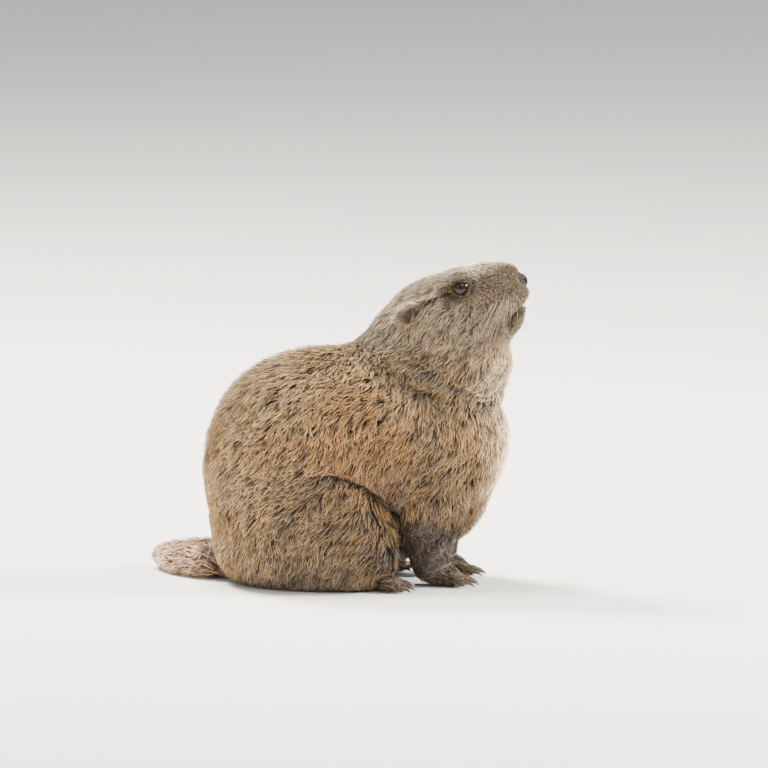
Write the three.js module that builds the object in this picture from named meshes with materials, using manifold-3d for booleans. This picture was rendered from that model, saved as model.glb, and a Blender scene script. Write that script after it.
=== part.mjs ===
// Alpine marmot (Marmota marmota), life size, sitting on its haunches with its head raised.
// Millimetres, +Z up, the nose towards +X and the animal's right side towards -Y.
// The body is a smooth field, a blend of ellipsoids and tapered limbs. Its zero level is the
// outline of the coat's tips, and each sub-part is the share of that body inside its own region.

import * as THREE from "three";
import { mergeVertices } from "three/addons/utils/BufferGeometryUtils.js";
import Module from "manifold-3d";

const wasm = await Module();
wasm.setup();

// Driving dimensions
const WITHERS = 188; // height of the back over the shoulders
const BODY_WIDTH = 150; // across the belly and flanks
const HEAD_LENGTH = 124; // nape to nose tip
const HEAD_WIDTH = 82; // across the cheeks
const HEAD_PITCH = 30; // degrees the head is raised from level
const HEAD_CENTRE = [60, 0, 212];
const EYE_RADIUS = 6.6;
const COAT_DEPTH = 7; // from the tips of the coat's locks down to the core that carries them
const LOCK = { spacing: 19, length: 48, width: 20, thickness: 3, sunk: 4, rise: 1 };
const TAIL_LOCK = { spacing: 13, length: 34, width: 10, thickness: 2.2, sunk: 3, rise: 1 };
const GAP = 0.3; // clearance between touching sub-parts
const BIG = 700; // size of the blocks that cut with one face

// Fields: each is a function of x, y, z that is near the distance to a surface, negative inside

const radians = THREE.MathUtils.degToRad;

function ellipsoid(centre, radii, pitch = 0, yaw = 0) {
  const turn = new THREE.Matrix4().makeRotationFromEuler(
    new THREE.Euler(0, -radians(pitch), radians(yaw), "ZYX"),
  );
  const e = turn.elements;
  const [cx, cy, cz] = centre;
  const [rx, ry, rz] = radii;
  return (x, y, z) => {
    const dx = x - cx;
    const dy = y - cy;
    const dz = z - cz;
    const u = (e[0] * dx + e[1] * dy + e[2] * dz) / rx;
    const v = (e[4] * dx + e[5] * dy + e[6] * dz) / ry;
    const w = (e[8] * dx + e[9] * dy + e[10] * dz) / rz;
    const reach = Math.sqrt(u * u + v * v + w * w);
    const slope = Math.hypot(u / rx, v / ry, w / rz);
    return slope < 1e-9 ? -Math.min(rx, ry, rz) : (reach * (reach - 1)) / slope;
  };
}

// A limb from point a, with radius ra, to point b, with radius rb.
function limb(a, b, ra, rb) {
  const d = [b[0] - a[0], b[1] - a[1], b[2] - a[2]];
  const length2 = d[0] * d[0] + d[1] * d[1] + d[2] * d[2];
  return (x, y, z) => {
    const along = ((x - a[0]) * d[0] + (y - a[1]) * d[1] + (z - a[2]) * d[2]) / length2;
    const t = Math.min(1, Math.max(0, along));
    const away = Math.hypot(x - a[0] - t * d[0], y - a[1] - t * d[1], z - a[2] - t * d[2]);
    return away - (ra + t * (rb - ra));
  };
}

function smoothMin(a, b, width) {
  const h = Math.max(width - Math.abs(a - b), 0) / width;
  return Math.min(a, b) - (h * h * width) / 4;
}

function blend(width, ...fields) {
  return (x, y, z) => fields.map((f) => f(x, y, z)).reduce((a, b) => smoothMin(a, b, width));
}

// The same form on both sides of the body: make(side) is called with -1, the right, and 1.
const bothSides = (make) => [make(-1), make(1)];

// The head's own frame: u towards the nose, v towards the crown, y across.
function inHead(u, y, v) {
  const p = radians(HEAD_PITCH);
  return [
    HEAD_CENTRE[0] + u * Math.cos(p) - v * Math.sin(p),
    y,
    HEAD_CENTRE[2] + u * Math.sin(p) + v * Math.cos(p),
  ];
}
const headForm = (u, y, v, radii, pitch = 0, yaw = 0) =>
  ellipsoid(inHead(u, y, v), radii, HEAD_PITCH + pitch, yaw);

const headField = (() => {
  const half = HEAD_WIDTH / 2;
  const cranium = headForm(-6, 0, 1, [0.34 * HEAD_LENGTH, 0.84 * half, 29.5]);
  const wedge = limb(inHead(6, 0, 2), inHead(54, 0, -3), 28.5, 19.5);
  const muzzle = headForm(43, 0, -3, [30.5, 0.42 * half, 26], -3);
  const brows = bothSides((s) => headForm(20, s * 0.45 * half, 18, [22, 12, 10], -6));
  const cheekbones = bothSides((s) => headForm(16, s * 0.55 * half, -2, [30, 14, 16], -8));
  const whiskerPads = bothSides((s) => headForm(56, s * 9, -13, [15, 11, 12]));
  const jaw = headForm(37, 0, -27, [23, 0.38 * half, 15], 8);
  const cheeks = bothSides((s) => headForm(2, s * 0.46 * half, -16, [36, 0.54 * half, 30], -6));
  return blend(10, cranium, wedge, muzzle, ...brows, ...cheekbones, ...whiskerPads, jaw, ...cheeks);
})();

const throat = ellipsoid([76, 0, 172], [40, 39, 42], -10);
const nape = limb([14, 0, 158], [50, 0, 203], 42, 37);
const ruff = ellipsoid([52, 0, 168], [46, 0.58 * HEAD_WIDTH, 30], -16);
const neckField = blend(14, nape, throat, ruff);

const trunkField = (() => {
  const half = BODY_WIDTH / 2;
  const rump = ellipsoid([-52, 0, 92], [76, half, 90]);
  const seat = ellipsoid([-60, 0, 40], [60, 0.93 * half, 56]);
  const barrel = ellipsoid([-8, 0, WITHERS - 70], [84, 0.88 * half, 70]);
  const chest = ellipsoid([46, 0, 116], [64, 0.74 * half, 66], -8);
  const brisket = ellipsoid([60, 0, 70], [32, 36, 34]);
  return blend(16, rump, seat, barrel, chest, brisket);
})();

// Each limb is set by its side, -1 for the right and 1 for the left. The left foreleg stands ahead.
const FORELEG_STEP = 3;
const haunch = (s) => ellipsoid([-36, s * 50, 44], [61, 33, 52], -14);
const knee = (s) => ellipsoid([-6, s * 60, 26], [32, 20, 24], 20);
const upperArm = (s) => ellipsoid([50, s * 38, 88], [31, 21, 48], 8);
const forearm = (s) => {
  const ahead = FORELEG_STEP * s;
  return limb([51 + ahead, s * 36, 64], [53 + ahead, s * 31, 18], 23, 15.5);
};

const rearField = blend(12, trunkField, ...bothSides(haunch), ...bothSides(knee));
const frontField = blend(9, trunkField, ...bothSides(upperArm), ...bothSides(forearm));
const bodyField = blend(9, rearField, frontField, blend(9, neckField, headField));

// Toes fan out from the front of a foot's pad. toes holds each toe's share of the full length.

function toeTips({ ball, toes, toeLength, toeRadius, side }) {
  return toes.map((share, i) => {
    const across = (i - (toes.length - 1) / 2) * side;
    return {
      root: [ball[0] + 2, ball[1] + across * 1.9 * toeRadius, toeRadius + 2.4],
      tip: [ball[0] + 5 + toeLength * share, ball[1] + across * 2.5 * toeRadius, toeRadius + 0.2],
    };
  });
}

const hindfoot = (side) => ({
  pad: [-12, side * 58, 8],
  radii: [36, 10.5, 9.5],
  slope: 0,
  ball: [10, side * 59, 8],
  toes: [0.78, 0.95, 1, 0.93, 0.72],
  toeLength: 15,
  toeRadius: 3.5,
  side,
});
const forefoot = (side) => ({
  pad: [59 + FORELEG_STEP * side, side * 31, 10],
  radii: [19, 12.5, 9.5],
  slope: -12,
  ball: [63 + FORELEG_STEP * side, side * 31, 8.5],
  toes: [0.82, 1, 0.97, 0.76],
  toeLength: 13,
  toeRadius: 3.6,
  side,
});

// The tail leaves the rump, lies on the floor and bends away to the animal's left.
const TAIL_PATH = new THREE.CatmullRomCurve3([
  new THREE.Vector3(-92, 4, 24),
  new THREE.Vector3(-124, 18, 15),
  new THREE.Vector3(-150, 42, 12.5),
  new THREE.Vector3(-166, 74, 10),
]);
const TAIL_PIECES = 7;
const tailRadius = (t) => 12 + 4.5 * Math.sin(Math.PI * Math.min(1, 0.15 + t)) - 4.5 * t * t;
const tailField = (() => {
  const at = (i) => TAIL_PATH.getPoint(i / TAIL_PIECES).toArray();
  const pieces = Array.from({ length: TAIL_PIECES }, (_, i) =>
    limb(at(i), at(i + 1), tailRadius(i / TAIL_PIECES), tailRadius((i + 1) / TAIL_PIECES)),
  );
  return blend(4, ...pieces);
})();

// Solids

function solidOf(geometry) {
  const bare = geometry.clone();
  bare.deleteAttribute("normal");
  bare.deleteAttribute("uv");
  const merged = mergeVertices(bare, 1e-4);
  return new wasm.Manifold(
    new wasm.Mesh({
      numProp: 3,
      vertProperties: merged.attributes.position.array,
      triVerts: new Uint32Array(merged.index.array),
    }),
  );
}

function geometryOf(solid) {
  const mesh = solid.getMesh();
  return new THREE.BufferGeometry()
    .setAttribute("position", new THREE.BufferAttribute(mesh.vertProperties, 3))
    .setIndex(new THREE.BufferAttribute(mesh.triVerts, 1));
}

// The same solid with each corner moved out along its normal.
function swollen(solid, by) {
  const g = geometryOf(solid);
  g.computeVertexNormals();
  const { position, normal } = g.attributes;
  for (let n = 0; n < position.count; n++) {
    const out = new THREE.Vector3().fromBufferAttribute(normal, n);
    const moved = new THREE.Vector3().fromBufferAttribute(position, n).addScaledVector(out, by);
    position.setXYZ(n, ...moved.toArray());
  }
  g.deleteAttribute("normal");
  return solidOf(g);
}

// The surface where a field equals level, as one vertex in each cell that it crosses, moved onto it.
function surface(field, box, cell, level = 0) {
  const [low, high] = box;
  const count = low.map((a, i) => Math.ceil((high[i] - a) / cell) + 1);
  const at = (i, j, k) => (k * count[1] + j) * count[0] + i;
  const values = new Float64Array(count[0] * count[1] * count[2]);
  for (let k = 0; k < count[2]; k++)
    for (let j = 0; j < count[1]; j++)
      for (let i = 0; i < count[0]; i++) {
        const edge = [i, j, k].some((n, a) => n === 0 || n === count[a] - 1);
        const here = field(low[0] + i * cell, low[1] + j * cell, low[2] + k * cell) - level;
        values[at(i, j, k)] = edge ? Math.max(here, cell / 2) : here;
      }
  const points = [];
  const pointOf = new Map();
  for (let k = 0; k < count[2] - 1; k++)
    for (let j = 0; j < count[1] - 1; j++)
      for (let i = 0; i < count[0] - 1; i++) {
        const crossing = cellCrossing(values, at, i, j, k);
        if (!crossing) continue;
        const start = crossing.map((c, a) => low[a] + ([i, j, k][a] + c) * cell);
        pointOf.set(at(i, j, k), points.length / 3);
        const outer = [i, j, k].some((n, a) => n === 0 || n === count[a] - 2);
        points.push(...(outer ? start : ontoSurface(field, level, start, cell / 2)));
      }
  const faces = [];
  const corner = (n) => new THREE.Vector3().fromArray(points, 3 * n);
  const quad = (a, b, c, d, flip) => {
    const ring = [a, b, c, d].map((n) => pointOf.get(n));
    if (flip) ring.reverse();
    const [p, q, r, s] = ring.map(corner);
    if (p.distanceTo(r) < q.distanceTo(s))
      faces.push(ring[0], ring[1], ring[2], ring[0], ring[2], ring[3]);
    else faces.push(ring[1], ring[2], ring[3], ring[1], ring[3], ring[0]);
  };
  for (let k = 0; k < count[2] - 1; k++)
    for (let j = 0; j < count[1] - 1; j++)
      for (let i = 0; i < count[0] - 1; i++) {
        const inside = values[at(i, j, k)] < 0;
        if (j && k && inside !== values[at(i + 1, j, k)] < 0)
          quad(at(i, j - 1, k - 1), at(i, j, k - 1), at(i, j, k), at(i, j - 1, k), !inside);
        if (i && k && inside !== values[at(i, j + 1, k)] < 0)
          quad(at(i - 1, j, k - 1), at(i - 1, j, k), at(i, j, k), at(i, j, k - 1), !inside);
        if (i && j && inside !== values[at(i, j, k + 1)] < 0)
          quad(at(i - 1, j - 1, k), at(i, j - 1, k), at(i, j, k), at(i - 1, j, k), !inside);
      }
  const geometry = new THREE.BufferGeometry();
  geometry.setAttribute("position", new THREE.Float32BufferAttribute(points, 3));
  geometry.setIndex(faces);
  return solidOf(geometry);
}

// The mean place, in cell units, where the surface crosses a cell's twelve edges, or null.
function cellCrossing(values, at, i, j, k) {
  const corners = [];
  for (let n = 0; n < 8; n++)
    corners.push(values[at(i + (n & 1), j + ((n >> 1) & 1), k + ((n >> 2) & 1))]);
  const sum = [0, 0, 0];
  let found = 0;
  for (let n = 0; n < 8; n++)
    for (let a = 0; a < 3; a++) {
      const m = n | (1 << a);
      if (m === n || corners[n] < 0 === corners[m] < 0) continue;
      const t = corners[n] / (corners[n] - corners[m]);
      for (let b = 0; b < 3; b++) sum[b] += b === a ? t : (n >> b) & 1;
      found++;
    }
  return found ? sum.map((s) => s / found) : null;
}

function gradient(field, [x, y, z]) {
  const h = 0.2;
  return new THREE.Vector3(
    field(x + h, y, z) - field(x - h, y, z),
    field(x, y + h, z) - field(x, y - h, z),
    field(x, y, z + h) - field(x, y, z - h),
  ).divideScalar(2 * h);
}

// Newton steps along the gradient, kept within reach of the start.
function ontoSurface(field, level, start, reach) {
  const p = new THREE.Vector3(...start);
  for (let n = 0; n < 4; n++) {
    const g = gradient(field, p.toArray());
    const steep = Math.max(g.lengthSq(), 0.05);
    p.addScaledVector(g, -(field(p.x, p.y, p.z) - level) / steep);
  }
  const moved = p.sub(new THREE.Vector3(...start));
  return moved.clampLength(0, reach).add(new THREE.Vector3(...start)).toArray();
}

// The coat is as short as the head's beside the head's seam and at the wrists, and long elsewhere.
const ramp = (t) => THREE.MathUtils.smoothstep(t, 0, 1);
function coatDepth(x, y, z) {
  const { point, normal } = HEAD_SEAM;
  const fromHead = (point[0] - x) * normal[0] + (point[2] - z) * normal[2];
  const wrist = x > 24 ? ramp((z - 18) / 36) : 1;
  const hem = 0.35 + 0.65 * ramp(z / 44);
  const byTail = ramp((tailField(x, y, z) - 2) / 24);
  return COAT_DEPTH * ramp(fromHead / 26) * wrist * hem * byTail;
}
const coreOf = (field) => (x, y, z) => field(x, y, z) + coatDepth(x, y, z);

// The coat lies away from the nose, turned down by its weight, along the surface.
const NOSE_TIP = new THREE.Vector3(...inHead(74, 0, -5));
const DROOP = 0.45;
function bodyLie(p) {
  const lie = p.clone().sub(NOSE_TIP).normalize();
  lie.z -= DROOP;
  return lie;
}

// The tail's brush lies along it, spread a little.
function tailLie(p) {
  let nearest = 0;
  for (let t = 0; t <= 1; t += 0.05)
    if (TAIL_PATH.getPoint(t).distanceTo(p) < TAIL_PATH.getPoint(nearest).distanceTo(p)) nearest = t;
  return TAIL_PATH.getTangent(nearest);
}

// A seeded draw between 0 and 1.
function drawer(seed) {
  let state = seed;
  return () => {
    state = (state * 1664525 + 1013904223) % 4294967296;
    return state / 4294967296;
  };
}

// Places about spacing apart on the coat's side of a node's core, in a seeded order.
function rootsOn(solid, coat, spacing, draw) {
  const g = geometryOf(solid).toNonIndexed();
  const at = g.attributes.position;
  const areas = [];
  const corner = (n) => new THREE.Vector3().fromBufferAttribute(at, n);
  let total = 0;
  for (let n = 0; n < at.count; n += 3) {
    total += new THREE.Triangle(corner(n), corner(n + 1), corner(n + 2)).getArea();
    areas.push(total);
  }
  const kept = [];
  for (let tries = 0; tries < 12000; tries++) {
    const pick = draw() * total;
    const n = 3 * areas.findIndex((a) => a >= pick);
    const [a, b] = [draw(), draw()];
    const [u, v] = a + b > 1 ? [1 - a, 1 - b] : [a, b];
    const [o, p, q] = [corner(n), corner(n + 1), corner(n + 2)];
    const place = o.clone().addScaledVector(p.sub(o), u).addScaledVector(q.sub(o), v);
    const depth = coat.depth(...place.toArray());
    const off = Math.abs(coat.field(...place.toArray()) + depth);
    if (off > 1.4 || depth < 2.6 || place.z < 7) continue;
    if (kept.every((k) => k.distanceTo(place) > spacing)) kept.push(place);
  }
  return kept;
}

// One lock: a flat tongue with a ridge, sunk at its root, bent once, its tip at the coat's outline.
function lockAt(coat, root, draw, size) {
  const normalAt = (p) => gradient(coat.field, p.toArray()).normalize();
  const settle = (p, level) => {
    const out = normalAt(p);
    return p.clone().addScaledVector(out, level - coat.field(...p.toArray()));
  };
  const length = size.length * (0.85 + 0.3 * draw());
  const turn = 0.5 * (draw() - 0.5);
  const along = (p) => {
    const out = normalAt(p);
    const lie = coat.lie(p);
    return lie.addScaledVector(out, -lie.dot(out)).normalize().applyAxisAngle(out, turn);
  };
  const start = settle(root, -coat.depth(...root.toArray()) - size.sunk);
  const ahead = root.clone().addScaledVector(along(root), 0.42 * length);
  const shoulder = settle(ahead, -size.rise - size.thickness);
  const tip = settle(shoulder.clone().addScaledVector(along(shoulder), 0.58 * length), 0);
  const out = normalAt(shoulder);
  const across = out.clone().cross(along(shoulder)).multiplyScalar(size.width / 2);
  const ridge = shoulder.clone().addScaledVector(out, size.thickness);
  const points = [start, shoulder.clone().add(across), ridge, shoulder.clone().sub(across), tip];
  const faces = [0, 1, 2, 0, 2, 3, 0, 3, 1, 4, 2, 1, 4, 3, 2, 4, 1, 3];
  const g = new THREE.BufferGeometry();
  g.setAttribute("position", new THREE.Float32BufferAttribute(points.flatMap((p) => p.toArray()), 3));
  g.setIndex(faces);
  const made = solidOf(g);
  return made.volume() > 0 ? made : solidOf(g.setIndex(faces.reverse()));
}

// The node's core with its locks, which its seams then cut.
function furred(core, region, coat, seed, size = LOCK) {
  const draw = drawer(seed);
  const roots = rootsOn(region(core), coat, size.spacing, draw).filter((p) => coat.free(p, size));
  return region(roots.reduce((whole, root) => whole.add(lockAt(coat, root, draw, size)), core));
}
const clearOfTail = (p, size) =>
  [0, 0.5, 1].every((t) => {
    const ahead = p.clone().addScaledVector(bodyLie(p).normalize(), t * size.length);
    return tailField(...ahead.toArray()) > 0.5 * size.width + 3;
  });
const bodyCoat = (field) => ({ field, depth: coatDepth, lie: bodyLie, free: clearOfTail });
const TAIL_DEPTH = 4;
const tailCoat = { field: tailField, depth: () => TAIL_DEPTH, lie: tailLie, free: () => true };

// Everything on the side of a plane that its normal points to.
function beyond(point, normal) {
  const turn = new THREE.Quaternion().setFromUnitVectors(
    new THREE.Vector3(0, 0, 1),
    new THREE.Vector3(...normal).normalize(),
  );
  const block = new THREE.BoxGeometry(BIG, BIG, BIG);
  block.translate(0, 0, BIG / 2);
  block.applyQuaternion(turn);
  block.translate(...point);
  return solidOf(block);
}
const opposite = (normal) => normal.map((n) => -n);
const shifted = (point, normal, by) => {
  const n = new THREE.Vector3(...normal).normalize();
  return new THREE.Vector3(...point).addScaledVector(n, by).toArray();
};

// Seams, each a plane with its normal towards the head
const HEAD_SEAM = { point: [63, 0, 194], normal: [0.314, 0, 0.95] };
const NECK_SEAM = { point: [51, 0, 164], normal: [0.366, 0, 0.93] };
const CHEST_SEAM = { point: [13, 0, 80], normal: [1, 0, 0] };
const above = ({ point, normal }) => beyond(shifted(point, normal, GAP / 2), normal);
const below = ({ point, normal }) =>
  beyond(shifted(point, normal, -GAP / 2), opposite(normal));
const floor = beyond([0, 0, 0], [0, 0, 1]);

const boxAround = (centre, half) => [
  centre.map((c, i) => c - half[i]),
  centre.map((c, i) => c + half[i]),
];

// The half-width of the head at u, v: where a line across it meets the coat's outline.
function halfWidth(u, v) {
  let inner = 0;
  let outer = HEAD_WIDTH;
  for (let n = 0; n < 30; n++) {
    const middle = (inner + outer) / 2;
    if (bodyField(...inHead(u, middle, v)) < 0) inner = middle;
    else outer = middle;
  }
  return inner;
}

// A ball turned in the head's frame, or in the body's where headPitch is 0.
function ball(centre, radii, detail = 16, pitch = HEAD_PITCH, yaw = 0) {
  const g = new THREE.SphereGeometry(1, detail, Math.round(detail * 0.6));
  g.rotateX(Math.PI / 2);
  g.scale(...radii);
  g.rotateZ(radians(yaw));
  g.rotateY(-radians(pitch));
  g.translate(...centre);
  return solidOf(g);
}

// Regions that the legs take from the trunk
const grown = (radii, by) => radii.map((r) => r + by);
const haunchRegion = (s, by = 0) => ball([-34, s * 66, 40], grown([67, 46, 60], by), 14, -12);
const armRegion = (s, by = 0) => ball([53, s * 50, 26], grown([38, 40, 112], by), 12, 0);
const HAUNCH_BOX = (s) => boxAround([-34, s * 66, 42], [76, 56, 70]);
const ARM_BOX = (s) => boxAround([54, s * 50, 66], [50, 50, 86]);
const HEAD_BOX = [
  [-20, -52, 150],
  [140, 52, 266],
];
const NECK_BOX = [
  [-24, -66, 120],
  [134, 66, 222],
];
const TRUNK_BOX = [
  [-140, -92, -6],
  [124, 92, 206],
];

// Cell sizes of the surfaces
const HEAD_CELL = 6.6;
const NECK_CELL = 12;
const TRUNK_CELL = 18;
const LEG_CELL = 14;
const TAIL_CELL = 7;

const parts = new Map();
function add(name, solid, colour, roughness = 0.9) {
  const bodies = solid.decompose().sort((a, b) => b.volume() - a.volume());
  parts.set(name, { solid: bodies[0], colour, roughness });
}
const sideName = (s) => (s < 0 ? "right" : "left");

const COAT = 0x8f7a5c;
const FACE = 0x857766;
const DARK = 0x2b2320;
const HORN = 0x3a312b;

// The eye sits in the head with a third of its radius proud of the coat.
const EYE = { u: 25.5, v: 15.2 };
const eyeCentre = (s) => inHead(EYE.u, s * (halfWidth(EYE.u, EYE.v) - 0.62 * EYE_RADIUS), EYE.v);

function lidRing(s) {
  const ring = new THREE.TorusGeometry(5.9, 1.75, 5, 14);
  ring.scale(1.05, 0.8, 1);
  ring.rotateX(Math.PI / 2);
  ring.rotateZ(radians(s * 14));
  ring.rotateX(radians(s * 8));
  ring.translate(0.6, s * 3.1, 0);
  ring.rotateY(-radians(HEAD_PITCH - 8));
  ring.translate(...eyeCentre(s));
  return solidOf(ring);
}

const NOSE = { u: 71.5, v: -5, radii: [6.2, 9.4, 7.6] };

function mouthCutter(shallow) {
  const line = new THREE.CatmullRomCurve3(
    [
      [74, -21.5],
      [62, -23],
      [50, -25.5],
      [43.5, -31],
    ].map(([u, v]) => new THREE.Vector3(u, v, 0)),
  );
  const points = line.getPoints(9);
  const lower = points.toReversed().map((p) => p.clone().add(new THREE.Vector3(-0.3, -1.5, 0)));
  const outline = [...points, ...lower];
  const shape = new THREE.Shape(outline.map((p) => new THREE.Vector2(p.x, p.y)));
  const band = new THREE.ExtrudeGeometry(shape, { depth: 80, bevelEnabled: false });
  band.translate(0, 0, -40);
  band.rotateX(Math.PI / 2);
  band.rotateY(-radians(HEAD_PITCH));
  band.translate(...HEAD_CENTRE);
  return solidOf(band).subtract(shallow);
}

function philtrumCutter(shallow) {
  const slot = new THREE.BoxGeometry(22, 1.3, 13);
  slot.rotateY(-radians(HEAD_PITCH));
  slot.translate(...inHead(70, 0, -17));
  return solidOf(slot).subtract(shallow);
}

function makeNose() {
  let nose = ball(inHead(NOSE.u, 0, NOSE.v), NOSE.radii, 10);
  for (const s of [-1, 1]) {
    nose = nose.subtract(ball(inHead(77.5, s * 4.4, -7), [4, 2, 2.8], 7));
    nose = nose.subtract(ball(inHead(74.5, s * 8.2, -4.6), [4, 3.2, 1.5], 6, HEAD_PITCH, s * 30));
  }
  add("nose", nose, DARK, 0.5);
}

function makeEars() {
  const headSolid = swollen(surface(bodyField, HEAD_BOX, HEAD_CELL), 1.5 * GAP);
  for (const s of [-1, 1]) {
    const y = halfWidth(-20, 18);
    const centre = (outward) => inHead(-20 + 0.5 * outward, s * (y + 1.5 + 0.86 * outward), 18.5);
    const shell = ball(centre(0), [11.5, 4.4, 11], 13, HEAD_PITCH + 10, s * -32);
    const cup = ball(centre(3.4), [8.6, 3.8, 8.2], 9, HEAD_PITCH + 10, s * -32);
    const ear = shell.subtract(cup).subtract(headSolid);
    add("ear_" + sideName(s), ear, COAT);
  }
}

function makeHead() {
  const shallow = surface(bodyField, HEAD_BOX, HEAD_CELL, -2.4);
  let head = surface(bodyField, HEAD_BOX, HEAD_CELL).intersect(above(HEAD_SEAM));
  head = head.subtract(mouthCutter(shallow)).subtract(philtrumCutter(shallow));
  head = head.subtract(ball(inHead(NOSE.u, 0, NOSE.v), grown(NOSE.radii, GAP), 10));
  for (const s of [-1, 1]) {
    head = head.add(lidRing(s));
    head = head.subtract(ball(eyeCentre(s), Array(3).fill(EYE_RADIUS + GAP), 12));
    add("eye_" + sideName(s), ball(eyeCentre(s), Array(3).fill(EYE_RADIUS), 12), DARK, 0.1);
  }
  add("head", head, FACE);
}

function makeNeck() {
  const core = surface(coreOf(bodyField), NECK_BOX, NECK_CELL);
  const region = (solid) => solid.intersect(below(HEAD_SEAM)).intersect(above(NECK_SEAM));
  add("neck", furred(core, region, bodyCoat(bodyField), 11), COAT);
}

function makeTrunk() {
  const core = surface(coreOf(bodyField), TRUNK_BOX, TRUNK_CELL);
  const legs = [-1, 1].flatMap((s) => [haunchRegion(s, GAP), armRegion(s, GAP)]);
  const region = (side) => (solid) =>
    legs.reduce(
      (left, leg) => left.subtract(leg),
      solid.intersect(side(CHEST_SEAM)).intersect(below(NECK_SEAM)).intersect(floor),
    );
  add("torso", furred(core, region(below), bodyCoat(bodyField), 23), COAT);
  add("chest", furred(core, region(above), bodyCoat(bodyField), 29), COAT);
}

function makeTail() {
  const box = [
    [-186, -20, -8],
    [-74, 96, 46],
  ];
  const core = surface(tailField, box, TAIL_CELL, -TAIL_DEPTH);
  const trunk = swollen(surface(coreOf(bodyField), TRUNK_BOX, TRUNK_CELL), 1.5 * GAP);
  const region = (solid) => solid.intersect(floor).subtract(trunk);
  add("tail", furred(core, region, tailCoat, 53, TAIL_LOCK), DARK);
}

function makeClaws(name, foot, length) {
  toeTips(foot).forEach(({ root, tip }, i) => {
    const from = new THREE.Vector3(...root);
    const to = new THREE.Vector3(...tip);
    const ahead = to.clone().sub(from).setZ(0).normalize();
    const spine = [0, 0.5, 1].map((t) => {
      const p = to.clone().addScaledVector(ahead, 0.62 * foot.toeRadius + 2 * GAP + length * t);
      return p.setZ(tip[2] + 0.2 - 3.2 * t * t);
    });
    add(name + "_" + (i + 1), taperedSweep(spine, [1.7, 1.4, 0.3], 4), HORN, 0.4);
  });
}

// A closed sweep along a list of points, with a round section of its own radius at each.
function taperedSweep(spine, radii, sides) {
  const points = [];
  const faces = [];
  spine.forEach((p, n) => {
    const before = spine[Math.max(0, n - 1)];
    const after = spine[Math.min(spine.length - 1, n + 1)];
    const along = after.clone().sub(before).normalize();
    const across = new THREE.Vector3(0, 0, 1).cross(along).normalize();
    const up = along.clone().cross(across);
    for (let i = 0; i < sides; i++) {
      const a = (2 * Math.PI * i) / sides;
      const out = across.clone().multiplyScalar(Math.cos(a)).addScaledVector(up, Math.sin(a));
      points.push(...p.clone().addScaledVector(out, radii[n]).toArray());
    }
  });
  const last = (spine.length - 1) * sides;
  for (let i = 0; i < sides; i++) {
    const j = (i + 1) % sides;
    for (let n = 0; n < last; n += sides)
      faces.push(n + i, n + sides + i, n + sides + j, n + i, n + sides + j, n + j);
    if (i > 0 && j > 0) faces.push(0, i, j, last, last + j, last + i);
  }
  const geometry = new THREE.BufferGeometry();
  geometry.setAttribute("position", new THREE.Float32BufferAttribute(points, 3));
  geometry.setIndex(faces);
  const made = solidOf(geometry);
  return made.volume() > 0 ? made : solidOf(geometry.setIndex(faces.reverse()));
}

function footSolid(foot, by) {
  const pad = ball(foot.pad, grown(foot.radii, by), 10, foot.slope);
  return toeTips(foot).reduce((whole, { root, tip }) => {
    const r = foot.toeRadius + by;
    const [from, to] = [root, tip].map((p) => new THREE.Vector3(...p));
    const ahead = to.clone().sub(from).normalize();
    const knuckle = from.clone().lerp(to, 0.55).add(new THREE.Vector3(0, 0, 0.6));
    const end = to.clone().addScaledVector(ahead, 0.62 * r);
    return whole.add(taperedSweep([from, knuckle, to, end], [1.1 * r, 1.12 * r, r, 0.5 * r], 5));
  }, pad);
}

function makeLegs() {
  for (const s of [-1, 1]) {
    const hind = hindfoot(s);
    const fore = forefoot(s);
    const hindSolid = (by) => footSolid(hind, by);
    const foreSolid = (by) => footSolid(fore, by);
    add("hindfoot_" + sideName(s), hindSolid(0).intersect(floor), DARK);
    add("forefoot_" + sideName(s), foreSolid(0).intersect(floor), DARK);
    makeClaws("hindclaw_" + sideName(s), hind, 7);
    makeClaws("foreclaw_" + sideName(s), fore, 9);

    const thigh = (solid) => solid.intersect(haunchRegion(s)).intersect(floor).subtract(hindSolid(GAP));
    const hindCore = surface(coreOf(rearField), HAUNCH_BOX(s), LEG_CELL);
    add("hindleg_" + sideName(s), furred(hindCore, thigh, bodyCoat(rearField), 31 + s), COAT);
    const arm = (solid) =>
      solid
        .intersect(armRegion(s))
        .intersect(floor)
        .subtract(haunchRegion(s, GAP))
        .intersect(below(NECK_SEAM))
        .subtract(foreSolid(GAP));
    const foreCore = surface(coreOf(frontField), ARM_BOX(s), LEG_CELL);
    add("foreleg_" + sideName(s), furred(foreCore, arm, bodyCoat(frontField), 41 + s), COAT);
  }
}

makeNose();
makeEars();
makeHead();
makeNeck();
makeTrunk();
makeTail();
makeLegs();

// The middle of the bounding box's underside is the origin.
const bounds = new THREE.Box3();
for (const { solid } of parts.values()) {
  const { min, max } = solid.boundingBox();
  bounds.expandByPoint(new THREE.Vector3(...min)).expandByPoint(new THREE.Vector3(...max));
}
const middle = bounds.getCenter(new THREE.Vector3());

const marmot = new THREE.Group();
for (const [name, { solid, colour, roughness }] of parts) {
  const material = new THREE.MeshStandardMaterial({ color: colour, roughness });
  const placed = solid.translate([-middle.x, -middle.y, -bounds.min.z]);
  const mesh = new THREE.Mesh(geometryOf(placed), material);
  mesh.name = name;
  marmot.add(mesh);
}

export default marmot;
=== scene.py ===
"""Alpine marmot as a still, life-size museum model: skin, coat, eyes, claws and whiskers.

Lengths are millimetres in the sculptor's frame (z up, nose towards +x, right side towards -y), and
become metres in the model's frame when a mesh is made. The skin is one smooth field, the same
blend of rounded forms as the solid model's, and the coat is made of solid tufts that grow from it.
"""
import math

import bpy
import numpy as np
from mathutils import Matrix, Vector, kdtree


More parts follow.
